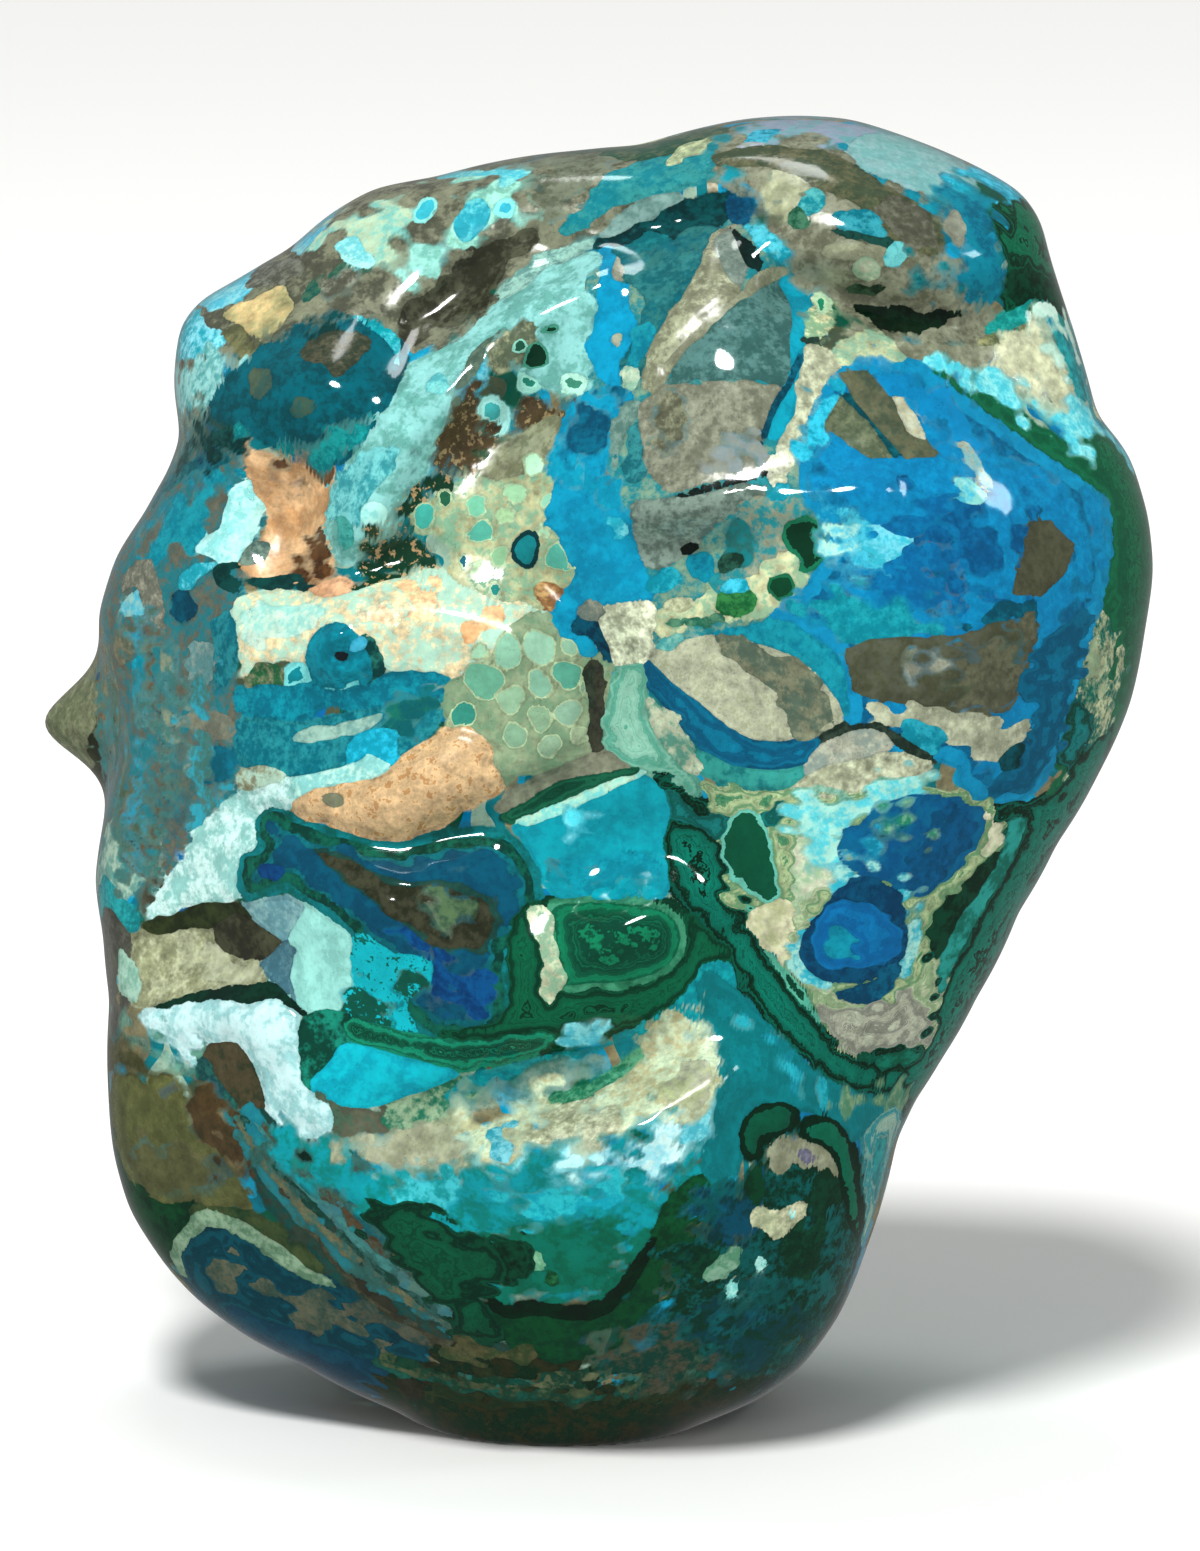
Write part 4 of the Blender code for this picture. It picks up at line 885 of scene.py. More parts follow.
# The white patches on the belly's upper slope are partly pale chrysocolla and partly a painted highlight of
# the polish.
growth("white slope", "d2f0ee", "9fd8e0", "622,1142 640,1130 690,1100 702,1108 714,1130 700,1142 682,1152 "
       "676,1176 656,1202 644,1208 638,1182 630,1162", ragged=0.5)
growth("cyan corner", "5cbcca", "8fd4d8", "680,1112 702,1100 714,1134 694,1144", ragged=0.5)
growth("white soft", "bce8e8", "8fd4dc", "553,1142 600,1128 614,1160 598,1188 565,1188 543,1166",
       ragged=0.6)
growth("white soft west", "8fd4da", "3fa8ad", "495,1150 540,1160 565,1182 530,1184 500,1168", ragged=0.6)
growth("cream slope", "c4d4b8", "a8a684", "345,1150 380,1134 440,1124 500,1106 560,1098 610,1080 642,1044 "
       "680,1006 690,1030 706,1050 712,1075 692,1102 660,1118 630,1134 600,1137 560,1132 520,1152 470,1167 "
       "420,1177 375,1167", ragged=0.5)
growth("slope tan one", "a8ad96", "959a82", "342,1142 400,1129 460,1129 482,1146 440,1166 400,1174 368,1162",
       ragged=0.5)
growth("slope tan two", "9fa489", "b6bca3", "515,1122 570,1109 622,1104 602,1126 560,1146 528,1150",
       ragged=0.5)
growth("slope tan three", "abb09a", "9fa884", "640,1092 680,1074 706,1076 690,1097 660,1107", ragged=0.4)
growth("slope blue", "3f9caa", "7fc0c8", "470,1136 500,1122 524,1134 500,1152", ragged=0.4)
growth("slope line", "2f7a5c", "5f9c7c", "545,1098 600,1082 640,1048 646,1056 606,1090 550,1106",
       ragged=0.1)

# The belly, with a banded green knot on it, and the dark line where it ends.
growth("belly green", "0a7a68", "0a6852", "425,1248 470,1228 520,1220 600,1208 650,1218 622,1282 592,1306 "
       "540,1300 500,1302 448,1284", ragged=0.7)
growth("belly bright", "14a2b2", "32b4bc", "468,1192 520,1180 570,1190 630,1180 642,1202 560,1217 490,1212",
       ragged=0.5)
growth("belly glint", "4fc0c8", "1f9699", "395,1178 440,1176 455,1196 420,1202 396,1192", ragged=0.5)
growth("belly chip pale", "8fc0a0", "5f9c7c", disc(540, 1262, 7), ragged=0.15)
growth("belly chip dark", "0f4f30", "2f7a50", disc(552, 1277, 8), ragged=0.15)
growth("knot", "0c5a40", "063526", "372,1206 400,1214 440,1224 470,1238 500,1238 524,1255 521,1281 "
       "497,1292 474,1288 492,1302 512,1322 502,1352 468,1342 430,1302 394,1262 373,1227", "banded",
       ragged=0.4, size=0.9)
growth("knot curl", "06301f", "0c4a34", "490,1242 516,1244 527,1262 519,1279 500,1287 510,1268", ragged=0.1)
growth("under green", "0a5230", "07402a", "490,1312 540,1312 600,1316 640,1280 660,1240 700,1215 716,1240 "
       "700,1290 640,1308 622,1352 562,1362 512,1352 504,1332", ragged=0.15)
growth("under right", "0c5a36", "0a4028", "652,1236 664,1202 690,1176 708,1178 714,1200 702,1216 682,1228 "
       "666,1252 648,1274")
growth("under line", "06301c", "0a2418", "486,1300 510,1306 540,1302 570,1309 595,1306 620,1283 650,1238 "
       "660,1236 634,1290 602,1320 565,1321 540,1314 510,1320 492,1312", ragged=0.06, rise=-0.3)
growth("under olive", "3f5234", "5a5a3c", "440,1352 500,1345 540,1356 500,1364 450,1362", ragged=0.3)

# The nodule at the lower right: dark blue-green with two curled malachite bands and pale chips.
# The nodule lies low, where the stone turns under: its dark greens and blues are partly its own colour and
# partly painted shade.
growth("nodule low", "083f3a", "06302a", "855,1240 866,1200 890,1200 880,1260 865,1330 815,1392 755,1420 "
       "738,1388 800,1350 842,1300", "banded", ragged=0.3, size=1.5)
growth("nodule", "063c2a", "0a6462", "658,1302 670,1250 700,1212 740,1170 770,1140 810,1130 846,1150 "
       "862,1200 860,1262 840,1322 800,1362 740,1382 680,1372 640,1352 645,1322", ragged=0.5)
growth("nodule navy", "0a566b", "0a4143", "688,1232 720,1205 750,1175 766,1166 772,1190 760,1216 735,1241 "
       "704,1252", ragged=0.5)
growth("nodule navy low", "094950", "07402f", "680,1330 740,1310 800,1300 820,1330 760,1362 700,1362",
       ragged=0.7)
growth("nodule teal", "0a5a58", "084840", "735,1275 775,1268 800,1290 770,1305 735,1300", ragged=0.6)
growth("bottom mix", "12483c", "515343", "590,1352 640,1334 690,1340 722,1360 692,1387 640,1382 598,1372",
       ragged=0.5)
growth("taupe cap", "999e88", "82866e", "764,1150 790,1137 822,1140 840,1165 837,1180 800,1167 775,1177 "
       "768,1162", ragged=0.2)
growth("cap purple", "6f6f84", "8a8a90", "790,1150 815,1150 820,1162 796,1162", ragged=0.25)
growth("nodule spot one", "0a4a30", "0c3824", disc(755, 1185, 11, 1.7), ragged=0.2)
growth("nodule spot two", "0c4a34", "083824", disc(820, 1195, 15, 1.7), ragged=0.3)
growth("nodule spot three", "07382a", "0a4a34", disc(700, 1262, 24, 0.9), ragged=0.4)
growth("nodule spot four", "063a28", "0a4c34", disc(806, 1252, 24, 1.5), ragged=0.4)
growth("curl one", "0a5a44", "06301f", "738,1146 740,1120 757,1106 786,1100 798,1114 792,1131 776,1136 "
       "762,1141 763,1158 748,1160", "rimmed", size=0.3, ragged=0.08, rise=0.3)
growth("curl two", "0c6c54", "06301f", "798,1128 814,1116 836,1118 852,1140 860,1180 862,1232 852,1246 "
       "844,1202 837,1162 824,1146 806,1142", "rimmed", size=0.3, ragged=0.08, rise=0.3)
growth("cream chip", "b0b898", "c8c8ac", "750,1216 765,1204 775,1213 786,1204 802,1198 810,1212 796,1221 "
       "788,1236 772,1242 764,1228 754,1224", rise=0.2)
growth("green chip", "8fb49e", "5f9478", "703,1270 714,1260 734,1247 744,1254 736,1269 716,1282 704,1280")
growth("aqua dot one", "7fd0cc", "b4e4dc", disc(759, 1262, 8))
growth("aqua dot two", "7fd0cc", "b4e4dc", disc(733, 1290, 6))
growth("aqua dot three", "8fe0dc", "c4ece4", disc(792, 1214, 5), ragged=0.06)
growth("waist", "9fb8a6", "2f9095", "862,1130 885,1110 922,1104 908,1140 892,1192 880,1242 866,1244 "
       "864,1190 868,1152", "banded", size=0.5)
growth("waist inner", "0f7d82", "1f9c9c", "874,1142 892,1134 886,1190 875,1198")


# The skin. The mesh carries, at each point, how deep it lies inside the part of each growth that shows, in
# mm, and the material draws the outlines from that. Growths clear of one another share a plate, and the
# plate that lies deepest inside at a place is seen.
OUTLINE_REACH = 1.2
RISE_EASING = 0.7
PLATE_COUNT = 12
CLEARANCE = 0.5
SHARPEST = 0.05
WANDER_WAVELENGTHS = (1.1, 1.7, 2.8, 5.0)
WANDER_WAVES = 4
WANDER_HEIGHT = 0.5
WANDER_SEED = 7
FRONT_STEPS = 280
BACK_STEPS = 140
JOIN_ANGLE = 97.0
JOIN_GAP = 1.5
PROFILE_STEPS = 2000
PROFILE_HALF_WIDTH = 33.0
SIDE_WEIGHT = 0.6
BACK_TURN = 200.0
BACK_SCALE = 1.2
BACK_BEGINS = 4.5
BACK_SHORE = 2.2
SPUR_CLEAR = 3.0
# How far a growth's edge fades into what lies beside it, in mm: a cut one, and one like a cloud.
CRISP = 0.06
CLOUDY = 2.6
CLOUDY_FROM = 0.5
# Over the rim the growths drift along it. Each drift: how far and how deep one swing is, in mm, and how many
# swings go round the stone. DRIFT_BEGINS is the share of the way out to the rim where it starts.
DRIFTS = ((2.2, 15.0, 3), (0.8, 7.0, 8))
DRIFT_BEGINS = 0.93
# What the second colour's alpha tells the material; a band's or a rim's width in mm is added to the last two.
CODES = {"mottled": -1.0, "speckled": -2.0, "banded": 0.0, "rimmed": 100.0}
# Gentle unevenness left by the tumbling: wavelength across, up and in depth, and height, in mm.
UNEVEN_SLANTS = (0.4, 0.3)
UNEVENNESS = ((7.1, 6.3, 9.0, 0.06), (4.3, 5.2, 6.0, 0.035), (3.1, 2.7, 4.4, 0.018))


def linear(hex_colour):
    """An sRGB hex colour as the three linear values that a shader works in."""
    levels = np.array([int(hex_colour[i : i + 2], 16) for i in (0, 2, 4)]) / 255
    return np.where(levels <= 0.04045, levels / 12.92, ((levels + 0.055) / 1.055) ** 2.4)


def smoothstep(t):
    """Eases from 0 to 1 as t does."""
    t = np.clip(t, 0, 1)
    return t * t * (3 - 2 * t)


def depth_inside(px, py, points):
    """Distance of each pixel place from the outline, in mm: above zero inside it, below zero outside."""
    nearest = np.full(px.shape, np.inf)
    inside = np.zeros(px.shape, bool)
    for (ax, ay), (bx, by) in zip(points, np.roll(points, -1, axis=0)):
        run_x, run_y = bx - ax, by - ay
        length = run_x**2 + run_y**2
        if length == 0:
            continue
        along = np.clip(((px - ax) * run_x + (py - ay) * run_y) / length, 0, 1)
        nearest = np.minimum(nearest, (px - ax - along * run_x) ** 2 + (py - ay - along * run_y) ** 2)
        if run_y != 0:
            crosses = (ay > py) != (by > py)
            inside ^= crosses & (px < ax + (py - ay) * run_x / run_y)
    return np.sqrt(nearest) * PHOTO_PIXEL * np.where(inside, 1, -1)


def disc_grid(steps):
    """A square grid drawn out onto a disc: each point's radius, from 0 to 1, and angle, its quads, and
    its rim taken once round from -45 degrees."""
    line = np.linspace(-1, 1, steps + 1)
    u, v = (side.ravel() for side in np.meshgrid(line, line, indexing="ij"))
    wide = np.abs(u) > np.abs(v)
    safe_u = np.where(wide, u, 1)
    safe_v = np.where(wide | (v == 0), 1, v)
    angle = np.where(
        wide,
        np.pi / 4 * v / safe_u + np.pi * (u < 0),
        np.pi / 2 - np.pi / 4 * u / safe_v + np.pi * (v < 0),
    )
    index = np.arange((steps + 1) ** 2).reshape(steps + 1, steps + 1)
    quads = np.stack([index[:-1, :-1], index[1:, :-1], index[1:, 1:], index[:-1, 1:]], axis=-1).reshape(-1, 4)
    rim = np.concatenate([index[-1, :-1], index[::-1, -1][:-1], index[0, ::-1][:-1], index[:-1, 0]])
    return np.where(wide, np.abs(u), np.abs(v)), angle, quads, rim


def polar_angle(radius, last):
    """Polar angle from the face's middle for each disc radius, even along the stone's profile up to last."""
    fine = np.linspace(0, last, PROFILE_STEPS)
    side = PROFILE_HALF_WIDTH * np.sin(fine) ** RIM_FULLNESS
    rise = SIDE_WEIGHT * FRONT_DEPTH * np.sign(np.cos(fine)) * np.abs(np.cos(fine)) ** FACE_FULLNESS
    along = np.concatenate([[0], np.cumsum(np.hypot(np.diff(side), np.diff(rise)))])
    return np.interp(radius, along / along[-1], fine)


# The grid: one disc over the face to just past the rim, a coarser one over the back, and a ring between them.
front_radius, front_angle, front_quads, front_rim = disc_grid(FRONT_STEPS)
back_radius, back_angle, back_quads, back_rim = disc_grid(BACK_STEPS)
join = math.radians(JOIN_ANGLE)
gap = math.radians(JOIN_GAP)
polar = np.concatenate([
    polar_angle(front_radius, join),
    np.pi - polar_angle(back_radius, np.pi - join - gap),
])
around = np.concatenate([front_angle, back_angle])
front_count = len(front_radius)
fine_rim = front_rim.reshape(-1, 2)
coarse_rim = back_rim + front_count
next_fine = np.roll(fine_rim[:, 0], -1)
next_coarse = np.roll(coarse_rim, -1)
ring = np.concatenate([
    np.column_stack([fine_rim[:, 0], coarse_rim, fine_rim[:, 1]]),
    np.column_stack([fine_rim[:, 1], coarse_rim, next_coarse]),
    np.column_stack([fine_rim[:, 1], next_coarse, next_fine]),
])

# The surface. The outline is swept to the face and the back by a squared-off ellipse, its notches filled in
# towards the middle; each side's flats are ground off it and its relief raised along the depth.
across = np.sin(polar)
toward = np.cos(polar)
sharp, soft = outline_radius(around)
reach = across**RIM_FULLNESS
radius = reach * (soft + (sharp - soft) * reach**NOTCH_DECAY)
x = radius * np.cos(around)
z = radius * np.sin(around)
on_face = toward > 0
fade = 1 - reach**RELIEF_DECAY
swell = np.abs(toward) ** FACE_FULLNESS
face = -FRONT_DEPTH * swell
face_cut = ground_flats(x, z, face, FACE_FLATS) - relief(x, z, FACE_LUMPS, FACE_FOLDS)
back = -BACK_DEPTH * swell
back_cut = ground_flats(x, z, back, BACK_FLATS) - relief(x, z, BACK_LUMPS, BACK_FOLDS)
depth = np.where(on_face, face + fade * (face_cut - face), -back - fade * (back_cut - back))
spur = np.exp(-(((z - NOSE_HEIGHT) / NOSE_HALF_HEIGHT) ** 2))
spur = spur * np.exp(-(((depth - NOSE_BEHIND_RIM) / NOSE_HALF_DEPTH) ** 2)) * (x < 0)
x = x - NOSE_REACH * spur
behind_rim = np.where(on_face, -1.0, swell * BACK_DEPTH)

# Each growth's depth inside at every point. The face's growths end behind the rim, by their wrap. Further
# on the back, which the photograph doesn't show, they go on turned and drawn larger, clear of the spur.
drift = np.zeros(len(x))
for swing, cycle, lobes in DRIFTS:
    drift += swing * np.sin(2 * np.pi * depth / cycle + lobes * around)
drift *= smoothstep((reach - DRIFT_BEGINS) / (1 - DRIFT_BEGINS)) + (depth > 0) * (1 - reach)
drift *= 1 - spur
pixel_x = PHOTO_WIDTH / 2 + (x - drift * np.sin(around)) / PHOTO_PIXEL
pixel_y = PHOTO_HEIGHT / 2 - (z + drift * np.cos(around)) / PHOTO_PIXEL
turn = math.radians(BACK_TURN)
back_x = PHOTO_WIDTH / 2 + (x * math.cos(turn) + z * math.sin(turn)) / (PHOTO_PIXEL * BACK_SCALE)
back_y = PHOTO_HEIGHT / 2 - (x * math.sin(turn) - z * math.cos(turn)) / (PHOTO_PIXEL * BACK_SCALE)
sheets = ((pixel_x, pixel_y, 1.0), (back_x, back_y, BACK_SCALE))
waves = np.random.default_rng(WANDER_SEED)
wander = np.zeros(len(x))
for wavelength in np.repeat(WANDER_WAVELENGTHS, WANDER_WAVES):
    way = waves.normal(size=3)
    way *= 2 * np.pi / wavelength / np.linalg.norm(way)
    phase = waves.uniform(0, 2 * np.pi)
    wander += WANDER_HEIGHT * np.sin(x * way[0] + z * way[1] + depth * way[2] + phase)
covered = np.full(len(x), -OUTLINE_REACH)
crisp_edge = np.full(len(x), OUTLINE_REACH)
cloudy_edge = np.full(len(x), OUTLINE_REACH)
raised = np.zeros(len(x))
plates = []
for g in reversed(growths):
    low = g["points"].min(axis=0) - OUTLINE_REACH / PHOTO_PIXEL
    high = g["points"].max(axis=0) + OUTLINE_REACH / PHOTO_PIXEL
    inside = np.full(len(x), -OUTLINE_REACH)
    for on_back, (sheet_x, sheet_y, scale) in enumerate(sheets):
        if on_back:
            limit = behind_rim * (1 - spur) - BACK_BEGINS * (1 + SPUR_CLEAR * spur)
            limit = limit + BACK_SHORE * wander * ~on_face
        else:
            limit = g["wrap"] - behind_rim - BACK_SHORE * wander * ~on_face
        near = (sheet_x > low[0]) & (sheet_x < high[0]) & (sheet_y > low[1]) & (sheet_y < high[1])
        near &= limit > -OUTLINE_REACH
        found = depth_inside(sheet_x[near], sheet_y[near], g["points"]) * scale - g["inset"]
        found += wander[near] * (g["ragged"] - SHARPEST) * scale
        inside[near] = np.maximum(inside[near], np.minimum(found, limit[near]))
    edge = cloudy_edge if g["ragged"] >= CLOUDY_FROM else crisp_edge
    np.minimum(edge, np.where(covered < 0, np.abs(inside), OUTLINE_REACH), out=edge)
    shown = np.minimum(inside, -covered)
    covered = np.maximum(covered, inside)
    if shown.max() < 0:
        continue
    raised += g["rise"] * smoothstep(shown / RISE_EASING) * on_face
    clash = [np.minimum(shown, plate["depth"]).max() for plate in plates]
    free = [number for number, gap in enumerate(clash) if gap < -CLEARANCE]
    if free:
        plate = plates[free[0]]
    elif len(plates) < PLATE_COUNT:
        plate = dict(
            depth=np.full(len(x), -OUTLINE_REACH),
            first=np.tile([0.0, 0.0, 0.0, -OUTLINE_REACH], (len(x), 1)),
            second=np.zeros((len(x), 4)),
        )
        plates.append(plate)
    else:
        plate = plates[int(np.argmin(clash))]
    here = shown > plate["depth"]
    plate["depth"][here] = shown[here]
    plate["first"][here, :3] = linear(g["colour"])
    plate["first"][here, 3] = shown[here]
    plate["second"][here, :3] = linear(g["second"])
    width = g["size"] if g["kind"] in ("banded", "rimmed") else 0.0
    plate["second"][here, 3] = CODES[g["kind"]] + width

softness = CRISP + (CLOUDY - CRISP) * (crisp_edge / (crisp_edge + cloudy_edge + CRISP)) ** 2
uneven = np.zeros(len(x))
for wave_x, wave_z, wave_depth, height in UNEVENNESS:
    phase = 2 * np.pi * (x / wave_x + UNEVEN_SLANTS[0] * z / wave_z + depth / wave_depth)
    crossing = 2 * np.pi * (z / wave_z - UNEVEN_SLANTS[1] * x / wave_x)
    uneven += height * np.sin(phase) * np.cos(crossing)
depth = depth - np.where(on_face, 1, -1) * fade * (raised + uneven)

# The rim runs aslant, and what lies further back is larger, because the outline was read along lines that
# meet at the eye. Then the stone leans back and its foot is ground flat.
depth = depth + RIM_TWIST * x
spread = 1 + depth / EYE_DISTANCE
wide, high = x * spread, z * spread
height = high * math.cos(lean) - depth * math.sin(lean) + FACE_MIDDLE_HEIGHT
places = np.column_stack([wide, depth * math.cos(lean) + high * math.sin(lean), np.maximum(height, 0)]) * MM

stone_mesh = bpy.data.meshes.new("stone skin")
faces = [*front_quads.tolist(), *(back_quads + front_count)[:, ::-1].tolist(), *ring.tolist()]
stone_mesh.from_pydata(places, [], faces)
stone_mesh.shade_smooth()
for number, plate in enumerate(plates):
    for name in ("first", "second"):
        attribute = stone_mesh.attributes.new(f"{name} {number}", "FLOAT_COLOR", "POINT")
        attribute.data.foreach_set("color", plate[name].astype(np.float32).ravel())
soft_edges = stone_mesh.attributes.new("softness", "FLOAT", "POINT")
soft_edges.data.foreach_set("value", softness.astype(np.float32))
stone = bpy.data.objects.new("polished_stone", stone_mesh)
bpy.context.scene.collection.objects.link(stone)


# The finish: chrysocolla in quartz, with malachite, azurite and host rock, tumbled until it shines like
# glass. The blue and green minerals take the highest polish; the brown rock is duller and faintly grainy.
EDGE_WANDER = 0.22
SOFT_EDGE_WANDER = 0.3
BARE_GROUND = -0.3
BARE_SECOND = "1f4f50"
BARE_BLEND = 0.35
PALETTE_FROM = 0.3
PALETTE_SPAN = 0.4
PALETTE = "0a6a9c 0b5a40 0a86b0 9fb8a6 0c8088 8f8666 12a0c0 0a7a8c 0f5f4a 5c6248 0a7ab4".split()
# Codes between which one kind ends and the next begins.
SPECKLED_BELOW = -1.5
BANDED_ABOVE = 0.0
RIMMED_ABOVE = 50.0
# The two values of a noise between which the first colour gives way to the second.
BLOTCHES = (0.38, 0.64)
SPECKS = (0.56, 0.62)
BANDS = (0.44, 0.56)
BAND_WAVER = 1.2
THINNEST_BAND = 0.05
# How far red leads blue where mineral ends and rock begins, and how uneven and how rough each of them is.
ROCK_REDNESS = (-0.02, 0.10)
UNEVEN_SHADE = (0.45, 0.9)
ROUGHNESS = (0.08, 0.3)
MEAN_SHADE = 1.04
VEIN_WIDTH = 0.006
VEIN_PATCHES = (0.5, 0.56)
VEIN_DARKNESS = 0.25
# How far in from a cut edge the dark line reaches, in mm, and how dark it is.
LINE_REACH = 0.1
LINE_DARKNESS = 0.012
PIT_STRENGTH = 0.15
PIT_DEPTH = 0.0001
polish = bpy.data.materials.new("tumbled chrysocolla")
polish.use_nodes = True
nodes = polish.node_tree.nodes
links = polish.node_tree.links
shader = nodes["Principled BSDF"]


def node(kind, inputs, out=0, **settings):
    """Adds a node, sets it up, gives each input its value or link, and returns one of its outputs."""
    made = nodes.new("ShaderNode" + kind)
    for name, value in settings.items():
        setattr(made, name, value)
    for socket, value in inputs.items():
        if isinstance(value, bpy.types.NodeSocket):
            links.new(value, made.inputs[socket])
        else:
            made.inputs[socket].default_value = value
    return made.outputs[out]


def maths(operation, *values, **settings):
    """What a Math node makes of the values."""
    return node("Math", dict(enumerate(values)), operation=operation, **settings)


def ramp(value, low, high, **settings):
    """0 where the value is low or less, 1 where it is high or more, and even between them."""
    return node("MapRange", {"Value": value, "From Min": low, "From Max": high}, **settings)


def mixed(share, one, other):
    """The first colour passing into the other as the share goes from 0 to 1."""
    return node("Mix", {0: share, 6: one, 7: other}, out=2, data_type="RGBA")


def picked(share, one, other):
    """The first number passing into the other as the share goes from 0 to 1."""
    return node("Mix", {0: share, 2: one, 3: other}, data_type="FLOAT")


def carried(name):
    """The outputs of an Attribute node that reads one of the mesh's own attributes."""
    return node("Attribute", {}, attribute_name=name).node.outputs


def rgba(hex_colour):
    """An sRGB hex colour as a linear colour socket's value."""
    return (*linear(hex_colour), 1.0)


# Places in mm, and noises of a few sizes. Two of them, mixed in other shares for each plate, make edges
# ragged. A soft edge also breaks up into grains, so there they swing further.
position = node("Mapping", {"Vector": node("TexCoord", {}, out="Object"), "Scale": (1 / MM, 1 / MM, 1 / MM)})
fine = node("TexNoise", {"Vector": position, "Scale": 1.1, "Detail": 3.0, "Roughness": 0.62})
finer = node("TexNoise", {"Vector": position, "Scale": 1.9, "Detail": 2.0, "Roughness": 0.75})
blotch = node("TexNoise", {"Vector": position, "Scale": 0.5, "Detail": 3.0, "Roughness": 0.68})
mineral = node("TexNoise", {"Vector": position, "Scale": 0.085, "Detail": 2.0, "Roughness": 0.55})
fine_swing = maths("SUBTRACT", fine, 0.5)
finer_swing = maths("SUBTRACT", finer, 0.5)
softness_at = carried("softness")["Fac"]
sharpness = maths("DIVIDE", 1.0, softness_at)
swing = maths("MULTIPLY_ADD", softness_at, SOFT_EDGE_WANDER, 2 * EDGE_WANDER)
fine_edge = maths("MULTIPLY", fine_swing, swing)
finer_edge = maths("MULTIPLY", finer_swing, swing)

# Ground that no growth covers: seams and patches of mineral about a centimetre across.
palette = nodes.new("ShaderNodeValToRGB")
palette.color_ramp.interpolation = "CONSTANT"
stops = palette.color_ramp.elements
for number, mineral_colour in enumerate(PALETTE):
    share = PALETTE_FROM + PALETTE_SPAN * number / len(PALETTE)
    stop = stops[number] if number < len(stops) else stops.new(share)
    stop.position = share
    stop.color = rgba(mineral_colour)
links.new(mineral, palette.inputs[0])

# The plate that lies deepest inside at a place gives its two colours and its code. Where the nearest edge
# is a soft one the colours fade into each other.
colour = palette.outputs[0]
second_colour = mixed(BARE_BLEND, colour, rgba(BARE_SECOND))
code = CODES["mottled"]
deepest = BARE_GROUND
for number in range(len(plates)):
    turn = 2 * math.pi * number / len(plates)
    first = carried(f"first {number}")
    second = carried(f"second {number}")
    depth_in = maths("MULTIPLY_ADD", fine_edge, math.cos(turn), first["Alpha"])
    depth_in = maths("MULTIPLY_ADD", finer_edge, math.sin(turn), depth_in)
    lead = maths("SUBTRACT", depth_in, deepest)
    wins = maths("GREATER_THAN", lead, 0.0)
    seen = maths("MULTIPLY_ADD", lead, sharpness, 0.5)
    deepest = maths("MAXIMUM", depth_in, deepest)
    colour = mixed(seen, colour, first["Color"])
    second_colour = mixed(seen, second_colour, second["Color"])
    code = picked(wins, code, second["Alpha"])

# The second colour lies in blotches, in specks, in bands that follow the outline, or in a rim.
broken = maths("MULTIPLY_ADD", finer_swing, 0.7, blotch)
share = ramp(broken, *BLOTCHES, interpolation_type="SMOOTHSTEP")
share = picked(maths("LESS_THAN", code, SPECKLED_BELOW), share, ramp(finer, *SPECKS))
count = maths("DIVIDE", deepest, maths("MAXIMUM", code, THINNEST_BAND))
count = maths("MULTIPLY_ADD", blotch, BAND_WAVER, count)
bands = node("TexNoise", {"W": count, "Scale": 1.6, "Detail": 2.0, "Roughness": 0.7}, noise_dimensions="1D")
share = picked(maths("GREATER_THAN", code, BANDED_ABOVE), share, ramp(bands, *BANDS))
rim = maths("LESS_THAN", deepest, maths("SUBTRACT", code, CODES["rimmed"]))
share = picked(maths("GREATER_THAN", code, RIMMED_ABOVE), share, rim)
colour = mixed(share, colour, second_colour)

# The mineral is lighter and darker from place to place, most of all the rock, whose grains show. Hairline
# veins run through it in patches, and a thin dark line follows the cut edges.
parts = node("SeparateColor", {"Color": colour}).node.outputs
rock = ramp(maths("SUBTRACT", parts[0], parts[2]), *ROCK_REDNESS, interpolation_type="SMOOTHSTEP")
graininess = maths("MULTIPLY_ADD", rock, UNEVEN_SHADE[1], UNEVEN_SHADE[0])
shade = maths("MULTIPLY_ADD", finer_swing, 0.9, fine_swing)
shade = maths("MULTIPLY_ADD", shade, graininess, MEAN_SHADE)
vein = maths("COMPARE", fine, 0.5, VEIN_WIDTH)
patch = maths("MULTIPLY", ramp(blotch, *VEIN_PATCHES), VEIN_DARKNESS)
shade = maths("SUBTRACT", shade, maths("MULTIPLY", vein, patch))
line = node("MapRange", {"Value": deepest, "From Max": LINE_REACH, "To Min": LINE_DARKNESS, "To Max": 0.0})
shade = maths("SUBTRACT", shade, maths("MULTIPLY", line, sharpness, use_clamp=True))
roughness = node("MapRange", {"Value": rock, "To Min": ROUGHNESS[0], "To Max": ROUGHNESS[1]})
pits = node("TexNoise", {"Vector": position, "Scale": 3.0, "Detail": 0.0})
pit_strength = maths("MULTIPLY", rock, PIT_STRENGTH)
grain = node("Bump", {"Height": pits, "Strength": pit_strength, "Distance": PIT_DEPTH})
colour = node("HueSaturation", {"Value": shade, "Color": colour})
links.new(colour, shader.inputs["Base Color"])
links.new(roughness, shader.inputs["Roughness"])
links.new(grain, shader.inputs["Normal"])
shader.inputs["IOR"].default_value = 1.5
stone_mesh.materials.append(polish)
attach(stone, "root")
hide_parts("stone")


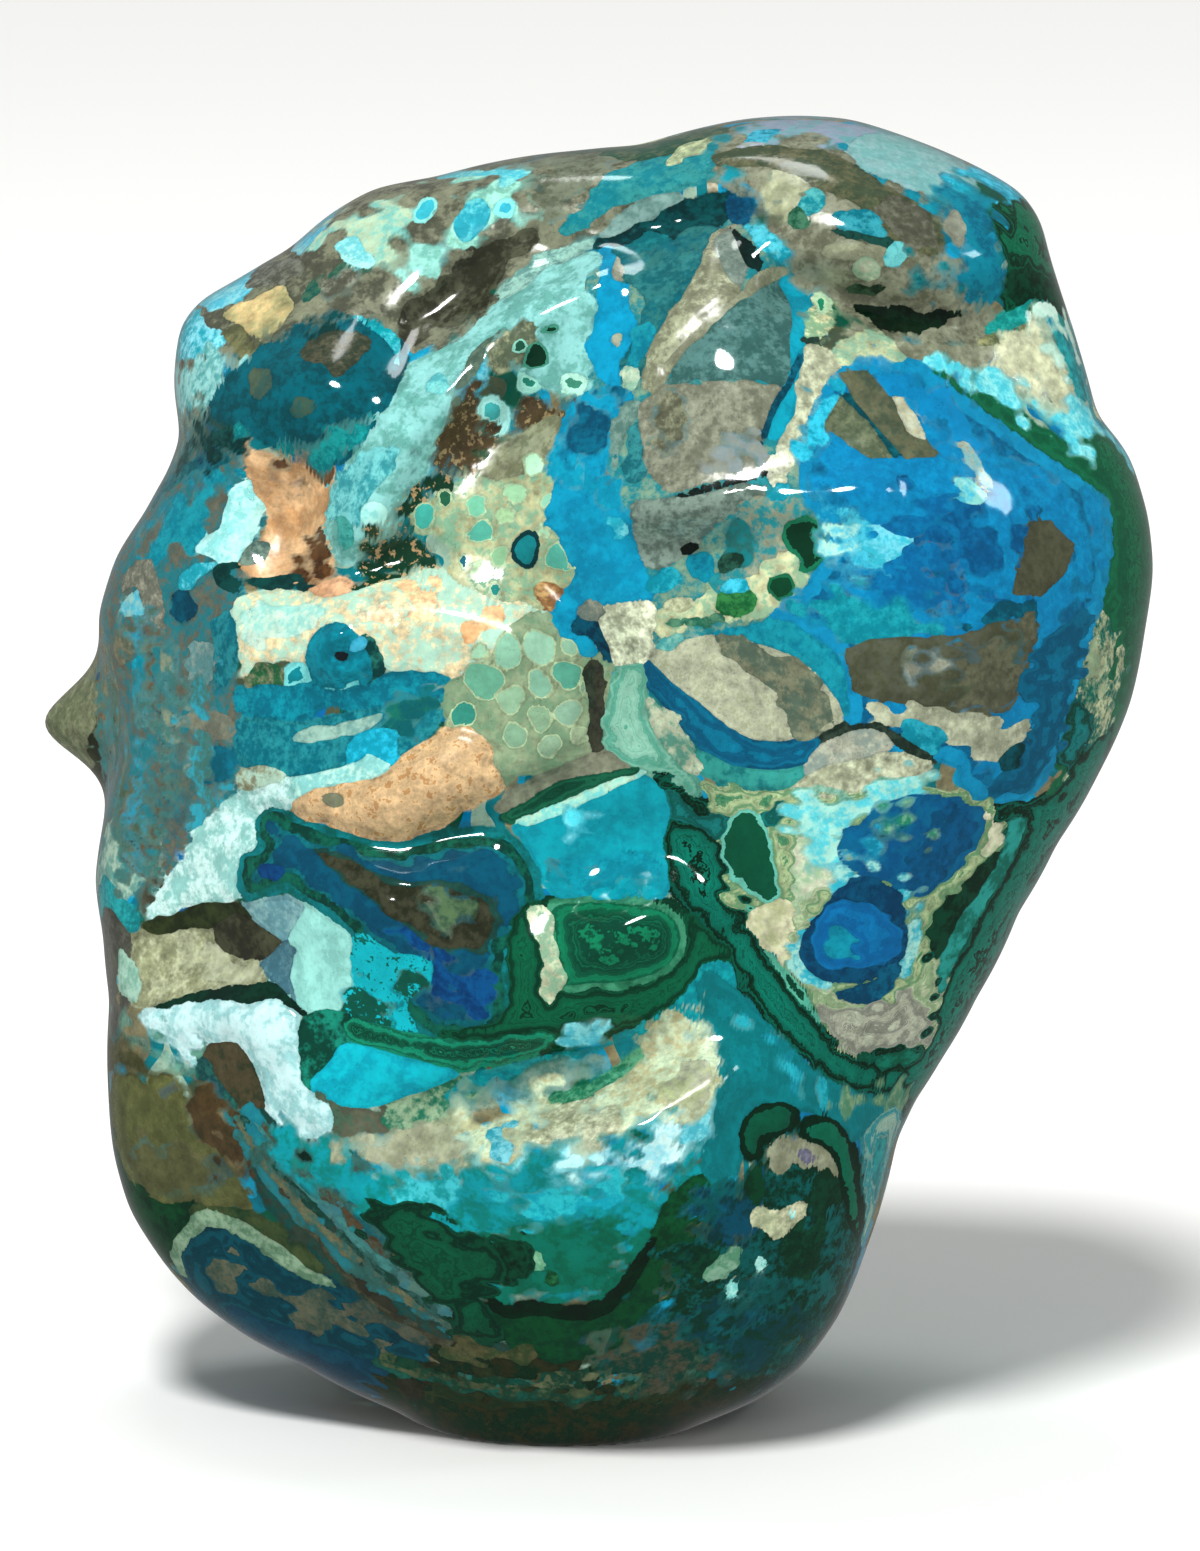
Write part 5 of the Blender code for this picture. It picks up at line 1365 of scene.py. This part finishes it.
# The floor: a plain pale sheet, under soft studio light from above, the left and the right. The sheet is kept
# out of the stone's reflections, as if dark cards stood round the stone.
FLOOR_HALF = 3.0
floor_mesh = bpy.data.meshes.new("floor")
corners = [(x, y, 0) for x, y in ((-1, -1), (1, -1), (1, 1), (-1, 1))]
floor_mesh.from_pydata(np.array(corners) * FLOOR_HALF, [], [(0, 1, 2, 3)])
floor = bpy.data.objects.new("floor", floor_mesh)
bpy.context.scene.collection.objects.link(floor)
paper = bpy.data.materials.new("matt white paper")
paper.use_nodes = True
sheet = paper.node_tree.nodes["Principled BSDF"]
sheet.inputs["Base Color"].default_value = rgba("fafaf8")
sheet.inputs["Roughness"].default_value = 0.7
floor_mesh.materials.append(paper)
floor.visible_glossy = False

world = bpy.data.worlds.new("studio")
bpy.context.scene.world = world
world.use_nodes = True
sky = world.node_tree.nodes["Background"]
sky.inputs["Color"].default_value = rgba("ffffff")
sky.inputs["Strength"].default_value = 0.3
bpy.context.scene.view_settings.view_transform = "Standard"
bpy.context.scene.view_settings.gamma = 0.8

# Each light: name, kind, place in metres, size in metres or angle in degrees, power in watts or strength,
# and whether it shows in the polish. The front box and the right fill don't, which keeps the photograph's
# contrast. All of the lights face the stone's middle.
LIGHTS = (
    ("ceiling light", "SUN", (-0.15, -0.42, 0.90), 13.0, 2.5, True),
    ("overhead strip", "AREA", (-0.06, 0.30, 0.92), 0.25, 1.6, True),
    ("right box", "AREA", (0.80, -0.07, 0.65), 0.14, 0.6, True),
    ("front box", "AREA", (-0.60, -0.80, 0.20), 0.55, 2.4, False),
    ("right fill", "AREA", (0.60, -0.75, 0.30), 0.50, 1.6, False),
)
for name, kind, place, size, power, mirrored in LIGHTS:
    light = bpy.data.objects.new(name, bpy.data.lights.new(name, kind))
    if kind == "SUN":
        light.data.angle = math.radians(size)
    else:
        light.data.size = size
    light.data.energy = power
    light.visible_glossy = mirrored
    light.location = place
    aim = mathutils.Vector((0, 0, FACE_MIDDLE_HEIGHT * MM)) - light.location
    light.rotation_euler = aim.to_track_quat("-Z", "Y").to_euler()
    bpy.context.scene.collection.objects.link(light)
